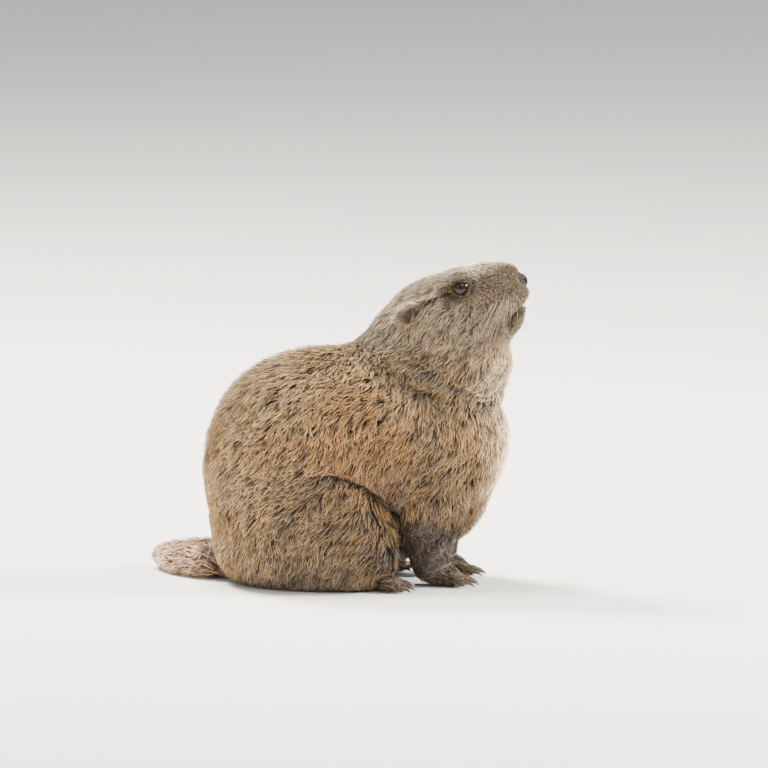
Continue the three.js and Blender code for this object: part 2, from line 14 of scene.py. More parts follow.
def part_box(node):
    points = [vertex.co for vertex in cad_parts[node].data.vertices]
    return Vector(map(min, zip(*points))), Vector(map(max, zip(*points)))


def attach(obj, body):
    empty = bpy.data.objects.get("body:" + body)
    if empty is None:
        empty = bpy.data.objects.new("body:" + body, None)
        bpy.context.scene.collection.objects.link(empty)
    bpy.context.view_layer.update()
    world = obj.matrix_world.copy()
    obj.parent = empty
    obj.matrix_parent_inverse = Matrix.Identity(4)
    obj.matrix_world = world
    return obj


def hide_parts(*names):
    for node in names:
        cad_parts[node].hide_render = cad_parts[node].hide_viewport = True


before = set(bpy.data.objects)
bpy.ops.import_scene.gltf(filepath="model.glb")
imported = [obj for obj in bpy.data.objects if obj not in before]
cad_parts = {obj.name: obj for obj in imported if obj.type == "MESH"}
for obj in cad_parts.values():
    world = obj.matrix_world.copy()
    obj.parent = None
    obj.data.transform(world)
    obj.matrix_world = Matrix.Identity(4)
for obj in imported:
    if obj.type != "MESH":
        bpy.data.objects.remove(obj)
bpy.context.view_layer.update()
rng = np.random.default_rng(7)

# Driving sizes
WITHERS = 188  # height of the back over the shoulders
BODY_WIDTH = 150  # across the belly and flanks
HEAD_LENGTH = 124  # nape to nose tip
HEAD_WIDTH = 82  # across the cheeks
HEAD_PITCH = 30  # degrees the head is raised from level
HEAD_CENTRE = np.array([60.0, 0.0, 212.0])
EYE_RADIUS = 7.2
COAT_DEPTH = 7.0  # from the coat's tips down to the skin on the body
FACE_DEPTH = 1.7  # the same on the head and feet
FORELEG_STEP = 3  # the left foreleg stands this far before the middle, and the right one behind it
SIDES = (-1, 1)
SIDE_NAME = {-1: "right", 1: "left"}
MM = 0.001
FAR = 1e9  # more than any length in the model


# Fields: signed lengths near a surface, negative inside, for an array of points

def turn(pitch=0.0, yaw=0.0):
    p, w = math.radians(pitch), math.radians(yaw)
    tilt = np.array([[math.cos(p), 0, -math.sin(p)], [0, 1, 0], [math.sin(p), 0, math.cos(p)]])
    spin = np.array([[math.cos(w), -math.sin(w), 0], [math.sin(w), math.cos(w), 0], [0, 0, 1]])
    return spin @ tilt


def turned_ball(centre, radii, axes):
    """An ellipsoid whose own axes are the columns of a matrix."""
    centre, radii = np.asarray(centre, float), np.asarray(radii, float)

    def field(p):
        q = (p - centre) @ axes / radii
        reach = np.sqrt((q * q).sum(-1))
        slope = np.sqrt(((q / radii) ** 2).sum(-1)) + 1e-9
        return reach * (reach - 1) / slope

    return field


def ellipsoid(centre, radii, pitch=0.0, yaw=0.0):
    return turned_ball(centre, radii, turn(pitch, yaw))


def limb(a, b, ra, rb):
    a, b = np.asarray(a, float), np.asarray(b, float)
    d = b - a

    def field(p):
        t = np.clip((p - a) @ d / (d @ d), 0, 1)
        away = p - a - t[..., None] * d
        return np.sqrt((away * away).sum(-1)) - (ra + t * (rb - ra))

    return field


def smooth_min(a, b, width):
    h = np.maximum(width - np.abs(a - b), 0) / width
    return np.minimum(a, b) - h * h * width / 4


def blend(width, *fields):
    def field(p):
        value = fields[0](p)
        for f in fields[1:]:
            value = smooth_min(value, f(p), width)
        return value

    return field


def ramp(t):
    """From 0 to 1 while t does, level at both ends."""
    t = np.clip(t, 0, 1)
    return t * t * (3 - 2 * t)


def bell(x, width):
    """1 at 0, falling off to both sides."""
    return np.exp(-((x / width) ** 2))


HEAD_AXES = turn(HEAD_PITCH)
HEAD_COS, HEAD_SIN = math.cos(math.radians(HEAD_PITCH)), math.sin(math.radians(HEAD_PITCH))


def in_head(u, y, v):
    """A place in the head's own frame: u towards the nose, v towards the crown."""
    x = HEAD_CENTRE[0] + u * HEAD_COS - v * HEAD_SIN
    return np.array([x, y, HEAD_CENTRE[2] + u * HEAD_SIN + v * HEAD_COS])


def head_frame(p):
    """The same three lengths, u, y and v, of places on the body."""
    x, z = p[..., 0] - HEAD_CENTRE[0], p[..., 2] - HEAD_CENTRE[2]
    return x * HEAD_COS + z * HEAD_SIN, p[..., 1], -x * HEAD_SIN + z * HEAD_COS


def head_form(u, y, v, radii, pitch=0.0, yaw=0.0):
    return ellipsoid(in_head(u, y, v), radii, HEAD_PITCH + pitch, yaw)


def make_head_field():
    half = HEAD_WIDTH / 2
    cranium = head_form(-6, 0, 1, [0.34 * HEAD_LENGTH, 0.84 * half, 29.5])
    wedge = limb(in_head(6, 0, 2), in_head(54, 0, -3), 28.5, 19.5)
    muzzle = head_form(43, 0, -3, [30.5, 0.42 * half, 26], -3)
    jaw = head_form(37, 0, -27, [23, 0.38 * half, 15], 8)
    forms = [cranium, wedge, muzzle, jaw]
    for s in SIDES:
        brow = head_form(20, s * 0.45 * half, 18, [22, 12, 10], -6)
        cheekbone = head_form(16, s * 0.55 * half, -2, [30, 14, 16], -8)
        whisker_pad = head_form(56, s * 9, -13, [15, 11, 12])
        cheek = head_form(2, s * 0.46 * half, -16, [36, 0.54 * half, 30], -6)
        forms += [brow, cheekbone, whisker_pad, cheek]
    return blend(10, *forms)


def make_neck_field():
    nape = limb([14, 0, 158], [50, 0, 203], 42, 37)
    throat = ellipsoid([76, 0, 172], [40, 39, 42], -10)
    ruff = ellipsoid([52, 0, 168], [46, 0.58 * HEAD_WIDTH, 30], -16)
    return blend(14, nape, throat, ruff)


def make_trunk_field():
    half = BODY_WIDTH / 2
    rump = ellipsoid([-52, 0, 92], [76, half, 90])
    seat = ellipsoid([-60, 0, 40], [60, 0.93 * half, 56])
    barrel = ellipsoid([-8, 0, WITHERS - 70], [84, 0.88 * half, 70])
    chest = ellipsoid([46, 0, 116], [64, 0.74 * half, 66], -8)
    brisket = ellipsoid([60, 0, 70], [32, 36, 34])
    return blend(16, rump, seat, barrel, chest, brisket)


def make_rear_field():
    haunches = [ellipsoid([-36, s * 50, 44], [61, 33, 52], -14) for s in SIDES]
    knees = [ellipsoid([-6, s * 60, 26], [32, 20, 24], 20) for s in SIDES]
    return blend(12, trunk_field, *haunches, *knees)


def make_arm_field():
    upper_arms = [ellipsoid([50, s * 38, 88], [31, 21, 48], 8) for s in SIDES]
    steps = [(s, FORELEG_STEP * s) for s in SIDES]
    forearms = [limb([51 + step, s * 36, 64], [53 + step, s * 31, 18], 23, 15.5) for s, step in steps]
    return blend(9, *upper_arms, *forearms)


head_field = make_head_field()
neck_field = make_neck_field()
trunk_field = make_trunk_field()
rear_field = make_rear_field()
arm_field = make_arm_field()
body_field = blend(9, rear_field, blend(9, trunk_field, arm_field), blend(9, neck_field, head_field))
belly_field = ellipsoid([19, 0, 46], [21, 46, 33])


def catmull(points, count):
    """Points along a smooth curve through the given ones."""
    p = np.array(points, float)
    p = np.vstack([2 * p[0] - p[1], p, 2 * p[-1] - p[-2]])
    t = np.linspace(0, len(points) - 1, count)
    i = np.minimum(t.astype(int), len(points) - 2)
    f = (t - i)[:, None]
    a, b, c, d = p[i], p[i + 1], p[i + 2], p[i + 3]
    return 0.5 * (2 * b + (c - a) * f + (2 * a - 5 * b + 4 * c - d) * f**2 + (3 * b - a - 3 * c + d) * f**3)


TAIL = catmull([(-92, 4, 24), (-124, 18, 15), (-150, 42, 12.5), (-166, 74, 10)], 24)
TAIL_LAST = len(TAIL) - 1


def tail_radius(t):
    """As t goes from 0 at the root to 1 at the tip, thickest at about 0.3."""
    return 12 + 4.5 * math.sin(math.pi * min(1, 0.15 + t)) - 4.5 * t * t


def make_tail_field():
    limbs = []
    for i in range(0, TAIL_LAST, 3):
        j = min(i + 3, TAIL_LAST)
        limbs.append(limb(TAIL[i], TAIL[j], tail_radius(i / TAIL_LAST), tail_radius(j / TAIL_LAST)))
    return blend(4, *limbs)


tail_field = make_tail_field()


def make_foot(pad, ball, shares, length, radius, claw, side):
    """A foot's pad, and the root and tip of each of its toes, which fan out from the ball of the foot."""
    toes = []
    for i, share in enumerate(shares):
        across = (i - (len(shares) - 1) / 2) * side
        root = np.array([ball[0] + 2, ball[1] + across * 1.9 * radius, radius + 2.4])
        tip = np.array([ball[0] + 5 + length * share, ball[1] + across * 2.5 * radius, radius + 0.2])
        toes.append((root, tip))
    return {"pad": pad, "toes": toes, "radius": radius, "claw": claw}


def hindfoot(s):
    pad = ellipsoid([-12, s * 58, 8], [36, 10.5, 9.5])
    return make_foot(pad, (10, s * 59), (0.78, 0.95, 1, 0.93, 0.72), 15, 3.5, 7, s)


def forefoot(s):
    step = FORELEG_STEP * s
    pad = ellipsoid([59 + step, s * 31, 10], [19, 12.5, 9.5], -12)
    return make_foot(pad, (63 + step, s * 31), (0.82, 1, 0.97, 0.76), 13, 3.6, 9, s)


def foot_field(foot):
    r = foot["radius"]
    bones = []
    for root, tip in foot["toes"]:
        knuckle = root + 0.55 * (tip - root) + [0, 0, 0.8]
        bones.append(limb(root, knuckle, 1.1 * r, 1.12 * r))
        bones.append(limb(knuckle, tip, 1.12 * r, 0.98 * r))
    return blend(2.2, foot["pad"], *bones)


FEET = {("hind", s): hindfoot(s) for s in SIDES} | {("fore", s): forefoot(s) for s in SIDES}
feet_field = blend(3, *[foot_field(foot) for foot in FEET.values()])

HEAD_SEAM = np.array([63, 0, 194]), np.array([0.314, 0, 0.95])  # a point of the plane and its normal


def from_head(p):
    """How far places lie below the seam between head and neck."""
    point, normal = HEAD_SEAM
    return (point - p) @ normal


def near_feet(p, edge=5, top=24, soft=6):
    """1 on the feet and 0 above them."""
    return ramp((edge - feet_field(p)) / 4) * ramp((top - p[..., 2]) / soft)


def near_tail(p, edge=4, start=-104, soft=10):
    """1 on the tail and 0 before its root."""
    return ramp((edge - tail_field(p)) / 6) * ramp((start - p[..., 0]) / soft)


def coat_depth(p):
    """How far the skin of the body lies under the coat's tips."""
    x, z = p[..., 0], p[..., 2]
    wrist = np.where(x > 24, ramp((z - 18) / 36), 1)
    hem = 0.35 + 0.65 * ramp(z / 44)
    return FACE_DEPTH + (COAT_DEPTH - FACE_DEPTH) * (ramp(from_head(p) / 26) * wrist * hem)


# The place of the solid eyes tells how far the model's frame is shifted from the sculptor's
EYE_U, EYE_V = 25.5, 15.2
EYE_INSET = 0.5


def eye_middle(s):
    """The middle of a solid eye, in millimetres of the model's frame."""
    low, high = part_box("eye_" + SIDE_NAME[s])
    return (np.array(low) / MM + np.array(high) / MM) / 2


SHIFT = np.array([eye_middle(-1)[0] - in_head(EYE_U, 0, EYE_V)[0], 0.0, 0.0])
EYES = {s: eye_middle(s) - SHIFT - [0, EYE_INSET * s, 0] for s in SIDES}


def eye_axes(s):
    """The eye opening's own axes: along it, up and outward."""
    facing = turn(pitch=22) @ turn(yaw=s * 14)
    along = facing @ np.array([1.0, 0, 0])
    out = facing @ np.array([0, s * 1.0, 0.12])
    out /= np.linalg.norm(out)
    up = np.cross(out, along) * s
    return along, up * (1 if up[2] > 0 else -1), out


LID = {"half_length": 7.1, "upper": 4.7, "lower": 4.5, "rim": 1.0}


def opening(p, s):
    """Lengths from the edge of the almond opening (negative in it), off the eye, and up from its middle."""
    along, up, out = eye_axes(s)
    q = p - EYES[s]
    reach = np.sqrt((q * q).sum(-1)) + 1e-9
    scale = EYE_RADIUS / reach
    a, b = (q @ along) * scale, (q @ up) * scale
    edge = []
    for high, sign in ((LID["upper"], 1), (LID["lower"], -1)):
        radius = (LID["half_length"] ** 2 + high ** 2) / (2 * high)
        edge.append(np.hypot(a, b * sign + radius - high) - radius)
    behind = np.where(q @ out < 0, 20.0, 0.0)
    return np.maximum(edge[0], edge[1]) + behind, reach - EYE_RADIUS, q @ up


def lid_field(s):
    """Two lids that hug the eye, thick at their rims, the upper one the heavier."""

    def field(p):
        edge, off, high = opening(p, s)
        heavy = 0.35 * ramp(high / 4)
        rim = np.hypot(edge - LID["rim"], off - 0.55 - heavy) - LID["rim"] - 0.5 * heavy
        cover = np.maximum(off - 0.8 - heavy, 0.9 - edge)
        return smooth_min(rim, cover, 0.8)

    return field


LIDS = {s: lid_field(s) for s in SIDES}
MOUTH = catmull([(76, -21.5), (62, -23), (50, -25.5), (43.5, -31)], 28)  # u and v in the head's frame
CREASE_DEPTH = 2.6
LINE_POINTS = 24

# Places of the side view on each crease's line, its depth and its width
CREASES = (
    (catmull([(-70, 82), (-40, 95), (-8, 88), (14, 64), (24, 34)], LINE_POINTS), CREASE_DEPTH, 5.5),
    (catmull([(40, 181), (58, 171), (76, 160), (94, 151)], LINE_POINTS), 2.4, 4.5),
    (catmull([(36, 86), (33, 66), (34, 44)], LINE_POINTS), 1.6, 5.0),
)


def squared_gap(a, b, line):
    """The squared length from each place to the nearest point of a line, both in a side view."""
    near = np.full(np.shape(a), FAR)
    for c, d in line:
        near = np.minimum(near, (a - c) ** 2 + (b - d) ** 2)
    return near


def mouth_distance(u, v):
    return np.sqrt(squared_gap(u, v, MOUTH))


def crease(p):
    """How deep the coat is parted at the top of the haunch, under the jowl and behind the arm, 0 to 1."""
    depth = np.zeros(p.shape[:-1])
    for line, deep, wide in CREASES:
        near = squared_gap(p[..., 0], p[..., 2], line)
        depth = np.maximum(depth, deep / CREASE_DEPTH * np.exp(-near / wide ** 2))
    return depth * ramp((np.abs(p[..., 1]) - 14) / 16)


def face_relief(p):
    """What the face's own folds add to the smooth head, positive inwards."""
    u, y, v = head_frame(p)
    away = mouth_distance(u, v)
    mouth = 2.1 * bell(away, 1.3) - 0.6 * bell(away - 3.4, 1.8)
    lip = ramp((u - 58) / 6) * ramp((-11 - v) / 3) * ramp((v + 23) / 3)
    philtrum = 1.4 * bell(y, 0.8) * lip
    front = 2.9 * ramp((u - 50) / 20) * ramp((v + 46) / 12)
    bridge = 1.5 * bell(u - 58, 14) * ramp((v - 6) / 8)
    socket = np.zeros(np.shape(u))
    for s in SIDES:
        socket = socket + 0.9 * bell(np.sqrt(((p - EYES[s]) ** 2).sum(-1)) - 11.0, 2.6)
    return mouth + philtrum + front + bridge + socket


def skin_field(p):
    body = smooth_min(body_field(p), belly_field(p), 8) + coat_depth(p)
    face = (p[..., 0] > 20) & (p[..., 2] > 170)
    relief = CREASE_DEPTH * crease(p)
    relief[face] += face_relief(p[face])
    body = body + relief
    for s in SIDES:
        edge, off, _ = opening(p, s)
        body = np.maximum(body, np.minimum(-edge, off + 3))
        body = smooth_min(body, LIDS[s](p), 1.5)
        body = np.maximum(body, 0.12 - off)
    whole = smooth_min(body, feet_field(p) + 0.9, 2.5)
    whole = smooth_min(whole, tail_field(p) + 4.6, 6)
    return np.maximum(whole, -p[..., 2] + 0.15)


# Meshes from fields, on a grid whose lines are given for each axis

BLOCK = 4  # grid steps between the places of a first, rough look
BATCH = 400000


def gradient(field, p, h=0.25):
    return np.stack([(field(p + step) - field(p - step)) / (2 * h) for step in h * np.eye(3)], -1)


def unit(v):
    return v / (np.linalg.norm(v, axis=-1, keepdims=True) + 1e-12)


def sample(field, lines):
    """The field on a grid, worked out in full only near its surface."""
    full = field(np.stack(np.meshgrid(*[line[::BLOCK] for line in lines], indexing="ij"), -1))
    for axis, line in enumerate(lines):
        full = np.repeat(full, BLOCK, axis=axis).take(range(len(line)), axis=axis)
    reach = 1.9 * BLOCK * max(np.diff(line).max() for line in lines)
    near = np.nonzero(np.abs(full) < reach)
    for start in range(0, len(near[0]), BATCH):
        part = tuple(n[start:start + BATCH] for n in near)
        full[part] = field(np.stack([line[n] for line, n in zip(lines, part)], -1))
    return full


def between(values, lines):
    """The field read from its grid, even between the grid's places."""

    def field(p):
        cell, share = [], []
        for axis, line in enumerate(lines):
            n = np.clip(np.searchsorted(line, p[..., axis], side="right") - 1, 0, len(line) - 2)
            cell.append(n)
            share.append(np.clip((p[..., axis] - line[n]) / (line[n + 1] - line[n]), 0, 1))
        value = 0.0
        for corner in range(8):
            high = [corner >> axis & 1 for axis in range(3)]
            weight = 1.0
            for axis in range(3):
                weight = weight * (share[axis] if high[axis] else 1 - share[axis])
            value = value + weight * values[tuple(cell[axis] + high[axis] for axis in range(3))]
        return value

    return field


def shifted(cells, axes, steps):
    """Grid cells moved back along two axes."""
    out = [c.copy() for c in cells]
    for axis, step in zip(axes, steps):
        out[axis] -= step
    return tuple(out)


def nets(field, lines, values=None):
    """One vertex in each grid cell that the surface crosses, moved onto it, and quads between them."""
    v = sample(field, lines) if values is None else values
    inside = v < 0
    cells = tuple(n - 1 for n in v.shape)
    total, found = np.zeros(cells + (3,)), np.zeros(cells)
    crossings = []
    for axis, line in enumerate(lines):
        low = tuple(slice(0, -1) if n == axis else slice(None) for n in range(3))
        high = tuple(slice(1, None) if n == axis else slice(None) for n in range(3))
        at = np.nonzero(inside[low] != inside[high])
        a, b = v[low][at], v[high][at]
        place = np.stack([lines[n][at[n]] for n in range(3)], -1)
        place[:, axis] += a / (a - b) * (line[at[axis] + 1] - line[at[axis]])
        others = [n for n in range(3) if n != axis]
        for steps in ((0, 0), (0, 1), (1, 0), (1, 1)):
            cell = shifted(at, others, steps)
            ok = np.all([(cell[n] >= 0) & (cell[n] < cells[n]) for n in range(3)], axis=0)
            spot = tuple(c[ok] for c in cell)
            np.add.at(total, spot, place[ok])
            np.add.at(found, spot, 1)
        crossings.append((axis, others, at, a < 0))
    used = found > 0
    index = np.full(cells, -1)
    index[used] = np.arange(used.sum())
    points = total[used] / found[used][:, None]
    faces = []
    for axis, (m, n), at, first_inside in crossings:
        ok = (at[m] > 0) & (at[n] > 0) & (at[m] < cells[m]) & (at[n] < cells[n])
        whole = [c[ok] for c in at]
        ring = [index[shifted(whole, (m, n), steps)] for steps in ((1, 1), (0, 1), (0, 0), (1, 0))]
        ring = np.stack(ring, -1)
        backward = (first_inside if axis == 1 else ~first_inside)[ok]
        ring[backward] = ring[backward][:, ::-1]
        faces.append(ring)
    for _ in range(2):
        g = gradient(field, points)
        steep = np.maximum((g * g).sum(-1), 0.2)
        step = -(field(points) / steep)[:, None] * g
        length = np.linalg.norm(step, axis=-1, keepdims=True)
        points = points + step * np.minimum(1, 0.6 / np.maximum(length, 1e-9))
    return points, np.vstack(faces)


def cube(centre, half, step):
    """Grid lines round a small form."""
    return [np.arange(c - half, c + half, step) for c in centre]


def mesh_object(name, points, faces):
    """A mesh in metres, in the model's frame, from sculptor's points and same-sided faces."""
    mesh = bpy.data.meshes.new(name)
    count, sides = faces.shape
    mesh.vertices.add(len(points))
    mesh.vertices.foreach_set("co", ((points + SHIFT) * MM).astype(np.float32).ravel())
    mesh.loops.add(faces.size)
    mesh.loops.foreach_set("vertex_index", faces.astype(np.int32).ravel())
    mesh.polygons.add(count)
    mesh.polygons.foreach_set("loop_start", np.arange(0, faces.size, sides, dtype=np.int32))
    mesh.polygons.foreach_set("loop_total", np.full(count, sides, dtype=np.int32))
    mesh.polygons.foreach_set("use_smooth", np.full(count, True))
    mesh.update(calc_edges=True)
    mesh.validate()
    return link(name, mesh)


def link(name, mesh):
    """A piece of the scene that rides on the one rigid body."""
    obj = bpy.data.objects.new(name, mesh)
    bpy.context.collection.objects.link(obj)
    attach(obj, "root")
    return obj


def colour_attribute(obj, name, colours):
    layer = obj.data.color_attributes.new(name, "FLOAT_COLOR", "POINT")
    rgba = np.ones((len(colours), 4), dtype=np.float32)
    rgba[:, :3] = colours
    layer.data.foreach_set("color", rgba.ravel())


# Skin

def spaced(*stretches):
    """Grid lines over stretches of (start, end, step), each finer or coarser than the next."""
    lines = [np.arange(a, b - 1e-6, step) for a, b, step in stretches]
    return np.concatenate(lines + [[stretches[-1][1]]])


def make_skin():
    """The skin's points and faces, and its field to look up, on a grid that is finer at head and feet."""
    lines = (
        spaced((-180, 62, 2.6), (62, 136, 1.15)),
        spaced((-90, -44, 2.6), (-44, 44, 1.3), (44, 94, 2.6)),
        spaced((-3, 24, 1.5), (24, 196, 2.6), (196, 266, 1.15)),
    )
    values = sample(skin_field, lines)
    return *nets(skin_field, lines, values), between(values, lines)


skin_points, skin_faces, skin_map = make_skin()


NOSE_AT = (67.2, 0, -6.0)
NOSE_RADII = [6.8, 9.0, 6.8]


def nose_field(p):
    """The pad, with a groove down its middle and two round nostrils that end in a slot."""
    pad = head_form(*NOSE_AT, NOSE_RADII)(p)
    for s in SIDES:
        slot = turned_ball(in_head(70.6, s * 7.2, -5.6), [3.6, 2.8, 1.4], HEAD_AXES @ turn(yaw=s * 30))
        hole = turned_ball(in_head(72.8, s * 4.2, -7.6), [3.6, 2, 2.7], HEAD_AXES)
        pad = -smooth_min(-pad, smooth_min(slot(p), hole(p), 1.0), 0.7)
    _, y, v = head_frame(p)
    return pad + 1.1 * bell(y, 0.7) * ramp((-v - 4) / 3)


# Markings: the same tones for the skin and for the coat over it

def tone(r, g, b):
    """A colour given as it looks on a screen, 0 to 255, for the shaders' linear light."""
    c = np.array([r, g, b]) / 255
    return np.where(c <= 0.04045, c / 12.92, ((c + 0.055) / 1.055) ** 2.4)


BODY_WARMTH = np.array([0.66, 0.575, 0.385])
FACE_WARMTH = np.array([0.76, 0.72, 0.63])
GREY_BROWN = tone(152, 128, 96)
# Paler top of the back: the back's own grey, with painted light from above
BACK_GREY_AND_TOP_LIGHT = tone(190, 168, 136)
RUFOUS = tone(158, 118, 66)
RUMP_BUFF = tone(168, 142, 108)
BIB = tone(234, 212, 174)
HEAD_GREY = tone(138, 122, 100)
CROWN_GREY = tone(172, 156, 134)
MUZZLE_PALE = tone(248, 236, 212)
MUZZLE_BROWN = tone(132, 112, 88)
EYE_DARK = tone(58, 46, 36)
NOSE_DARK = tone(20, 17, 15)
# Painted shade, in the fold under the jowl and in the coat's creases
NECK_FOLD_SHADE = tone(118, 100, 74)
HAUNCH_BROWN = tone(112, 92, 66)
# The arm's dark brown fur, with painted shade under the body
ARM_DARK_AND_SHADE = tone(44, 34, 24)
FOOT_GREY = tone(84, 70, 54)
TAIL_BROWN = tone(172, 136, 98)
TAIL_DARK = tone(104, 80, 60)
TAIL_FRINGE = tone(196, 168, 134)
# Painted shade under the body, behind the forelegs
BELLY_SHADE = tone(60, 46, 30)
GUARD_TONE = tone(226, 196, 148)

# The coat's patches on both sides: tone, centre, radii, soft edge, pitch and strength
BODY_PATCHES = (
    # The back's own grey, with painted light from above
    (BACK_GREY_AND_TOP_LIGHT, (-30, 20, 160), (90, 55, 48), 0.5, 0, 0.8),
    (RUMP_BUFF, (-110, 20, 90), (40, 60, 80), 0.5, 0, 0.7),
    (RUFOUS, (-2, 66, 122), (40, 40, 48), 0.8, 20, 0.75),
    (RUFOUS, (34, 62, 76), (26, 36, 40), 0.8, 0, 0.7),
    (HAUNCH_BROWN, (-30, 84, 44), (52, 34, 46), 0.6, 0, 0.85),
    # Painted shade under the body
    (BELLY_SHADE, (24, 30, 36), (34, 44, 34), 0.6, 0, 0.9),
    # Painted shade in the fold under the jowl
    (NECK_FOLD_SHADE, (36, 46, 168), (44, 24, 16), 0.7, -24, 0.75),
)
FRONT_PATCHES = (
    (BIB, (106, 0, 128), (28, 34, 76), 1.1, 8, 0.9),
    (BIB, (110, 0, 186), (20, 26, 28), 1.1, 0, 0.85),
    # The arm's dark brown fur, with painted shade under the body
    (ARM_DARK_AND_SHADE, (44, 62, 84), (26, 42, 42), 0.7, 0, 0.35),
    (ARM_DARK_AND_SHADE, (52, 40, 24), (36, 44, 44), 0.7, 0, 1),
)


def waves(p, size, seed):
    """A smooth, seeded, irregular pattern between about -1 and 1, with bumps about size across."""
    draw = np.random.default_rng(seed)
    value = np.zeros(p.shape[:-1])
    for _ in range(7):
        axis = unit(draw.normal(size=3))
        k = 2 * math.pi / (size * draw.uniform(0.8, 1.9))
        value = value + np.sin(p @ axis * k + draw.uniform(0, 6.28))
    return value / 3.2


def patch(p, centre, radii, soft, pitch):
    """1 inside an oval place on the body and 0 outside it, with a soft and slightly uneven edge."""
    q = (p - np.array(centre, float)) @ turn(pitch) / np.array(radii, float)
    reach = np.sqrt((q * q).sum(-1)) + 0.12 * waves(p, 24, int(abs(centre[0])) + 3)
    return ramp((1 + soft / 2 - reach) / soft)


def mix(a, b, t):
    """Between two tones, with a share for each place."""
    return a + (b - a) * np.clip(t, 0, 1)[..., None]


def patched(tones, p, patches):
    for colour, centre, radii, soft, pitch, strength in patches:
        tones = mix(tones, colour, patch(p, centre, radii, soft, pitch) * strength)
    return tones


def face_markings(p):
    """Pale on muzzle, upper lip and chin, dark at the lower lip, the eyes and the nose, with painted shade
    in the mouth's groove.
    """
    u, _, v = head_frame(p)
    face = mix(HEAD_GREY, CROWN_GREY, ramp((v - 14) / 12))
    face = mix(face, MUZZLE_PALE, ramp((v - 9 + 0.1 * (u - 60)) / 7) * ramp((u - 28) / 14) * 0.95)
    face = mix(face, MUZZLE_BROWN, ramp((u - 46) / 12) * ramp((10 - v) / 8) * ramp((v + 20) / 8) * 0.35)
    away = mouth_distance(u, v)
    above = v > -21.5 - 0.16 * (76 - u)
    face = mix(face, MUZZLE_PALE, bell(away, 6.5) * ramp((u - 60) / 8) * above * 0.9)
    face = mix(face, EYE_DARK, bell(away, 4.2) * ramp((u - 42) / 6) * ~above * 0.7)
    face = mix(face, BIB, ramp((-v - 34) / 8) * ramp((u - 30) / 16) * 0.7)
    # Painted shade in the mouth's groove
    face = mix(face, EYE_DARK, bell(away, 1.6) * ramp((u - 40) / 4) * 0.8)
    for s in SIDES:
        q = p - EYES[s]
        along, up, _ = eye_axes(s)
        ring = np.hypot((q @ along) / 12.5, (q @ up - 0.5) / 9.5)
        near = (np.sign(p[..., 1]) == s) * ramp((1.35 - ring) / 0.7)
        face = mix(face, EYE_DARK, near * 0.85)
    return mix(face * FACE_WARMTH, NOSE_DARK, ramp((2.0 - nose_field(p)) / 1.2))


def tail_markings(p):
    t = tail_place(p)
    tail = mix(TAIL_DARK, TAIL_BROWN, ramp(t * 2.2))
    return mix(tail, TAIL_DARK, ramp((t - 0.72) / 0.25))


def markings(p):
    """The coat's tone at places on the body."""
    u, _, v = head_frame(p)
    mirrored = np.stack([p[..., 0], np.abs(p[..., 1]), p[..., 2]], -1)
    c = patched(GREY_BROWN, mirrored, BODY_PATCHES) * BODY_WARMTH
    c = patched(c, mirrored, FRONT_PATCHES)
    # Painted shade in the creases at the top of the haunch, under the jowl and behind the arm
    c = mix(c, NECK_FOLD_SHADE * 0.55, crease(p) * 0.45)
    on_head = ramp((u * 0.5 + v + 40) / 30) * ramp((p[..., 2] - 176) / 30) * ramp((u + 70) / 20)
    c = mix(c, face_markings(p), on_head)
    c = mix(c, FOOT_GREY, near_feet(p, top=26, soft=8) * 0.85)
    c = mix(c, tail_markings(p), near_tail(p))
    shade = 1 + 0.10 * waves(p, 30, 5) + 0.07 * waves(p, 11, 6)
    return np.clip(c * shade[..., None], 0.004, 1)


def tail_place(p):
    """How far along the tail a place is, from 0 at its root to 1 at its tip."""
    near = np.full(p.shape[:-1], FAR)
    place = np.zeros(p.shape[:-1])
    for n, spot in enumerate(TAIL):
        d = ((p - spot) ** 2).sum(-1)
        closer = d < near
        near = np.where(closer, d, near)
        place = np.where(closer, n / TAIL_LAST, place)
    return place


# Materials

class Look:
    """A material with its shader, and short ways to add and join nodes."""

    def __init__(self, name, **values):
        self.material = bpy.data.materials.new(name)
        self.material.use_nodes = True
        self.tree = self.material.node_tree
        self.shader = self.tree.nodes["Principled BSDF"]
        self.give(self.shader, values)

    def give(self, n, values):
        """Sets a node's inputs, with an underscore for each space, and its own settings."""
        for key, value in values.items():
            if key.replace("_", " ") in n.inputs:
                n.inputs[key.replace("_", " ")].default_value = value
            else:
                setattr(n, key, value)

    def add(self, kind, **values):
        n = self.tree.nodes.new("ShaderNode" + kind)
        self.give(n, values)
        return n

    def join(self, source, output, target, entry):
        self.tree.links.new(source.outputs[output], target.inputs[entry])

    def attribute(self, name):
        return self.add("Attribute", attribute_name=name)

    def pattern(self, kind, **values):
        """A node that works in the piece's own lengths."""
        n = self.add(kind, **values)
        self.join(self.add("TexCoord"), "Object", n, "Vector")
        return n

    def stops(self, source, output, *stops):
        """A colour ramp with the given places and colours, read at a node's value."""
        n = self.add("ValToRGB")
        elements = n.color_ramp.elements
        for element, (at, colour) in zip(elements, (stops[0], stops[-1])):
            element.position, element.color = at, (*colour, 1)
        for at, colour in stops[1:-1]:
            elements.new(at).color = (*colour, 1)
        self.join(source, output, n, "Fac")
        return n

    def product(self, first, second):
        n = self.add("Mix", data_type="RGBA", blend_type="MULTIPLY", clamp_result=False, Factor=1)
        self.join(first, "Color", n, "A")
        self.join(second, "Color", n, "B")
        return n

    def colour(self, source, output):
        self.join(source, output, self.shader, "Base Color")

    def bump(self, source, output, strength, distance):
        n = self.add("Bump", Strength=strength, Distance=distance)
        self.join(source, output, n, "Height")
        self.join(n, "Normal", self.shader, "Normal")


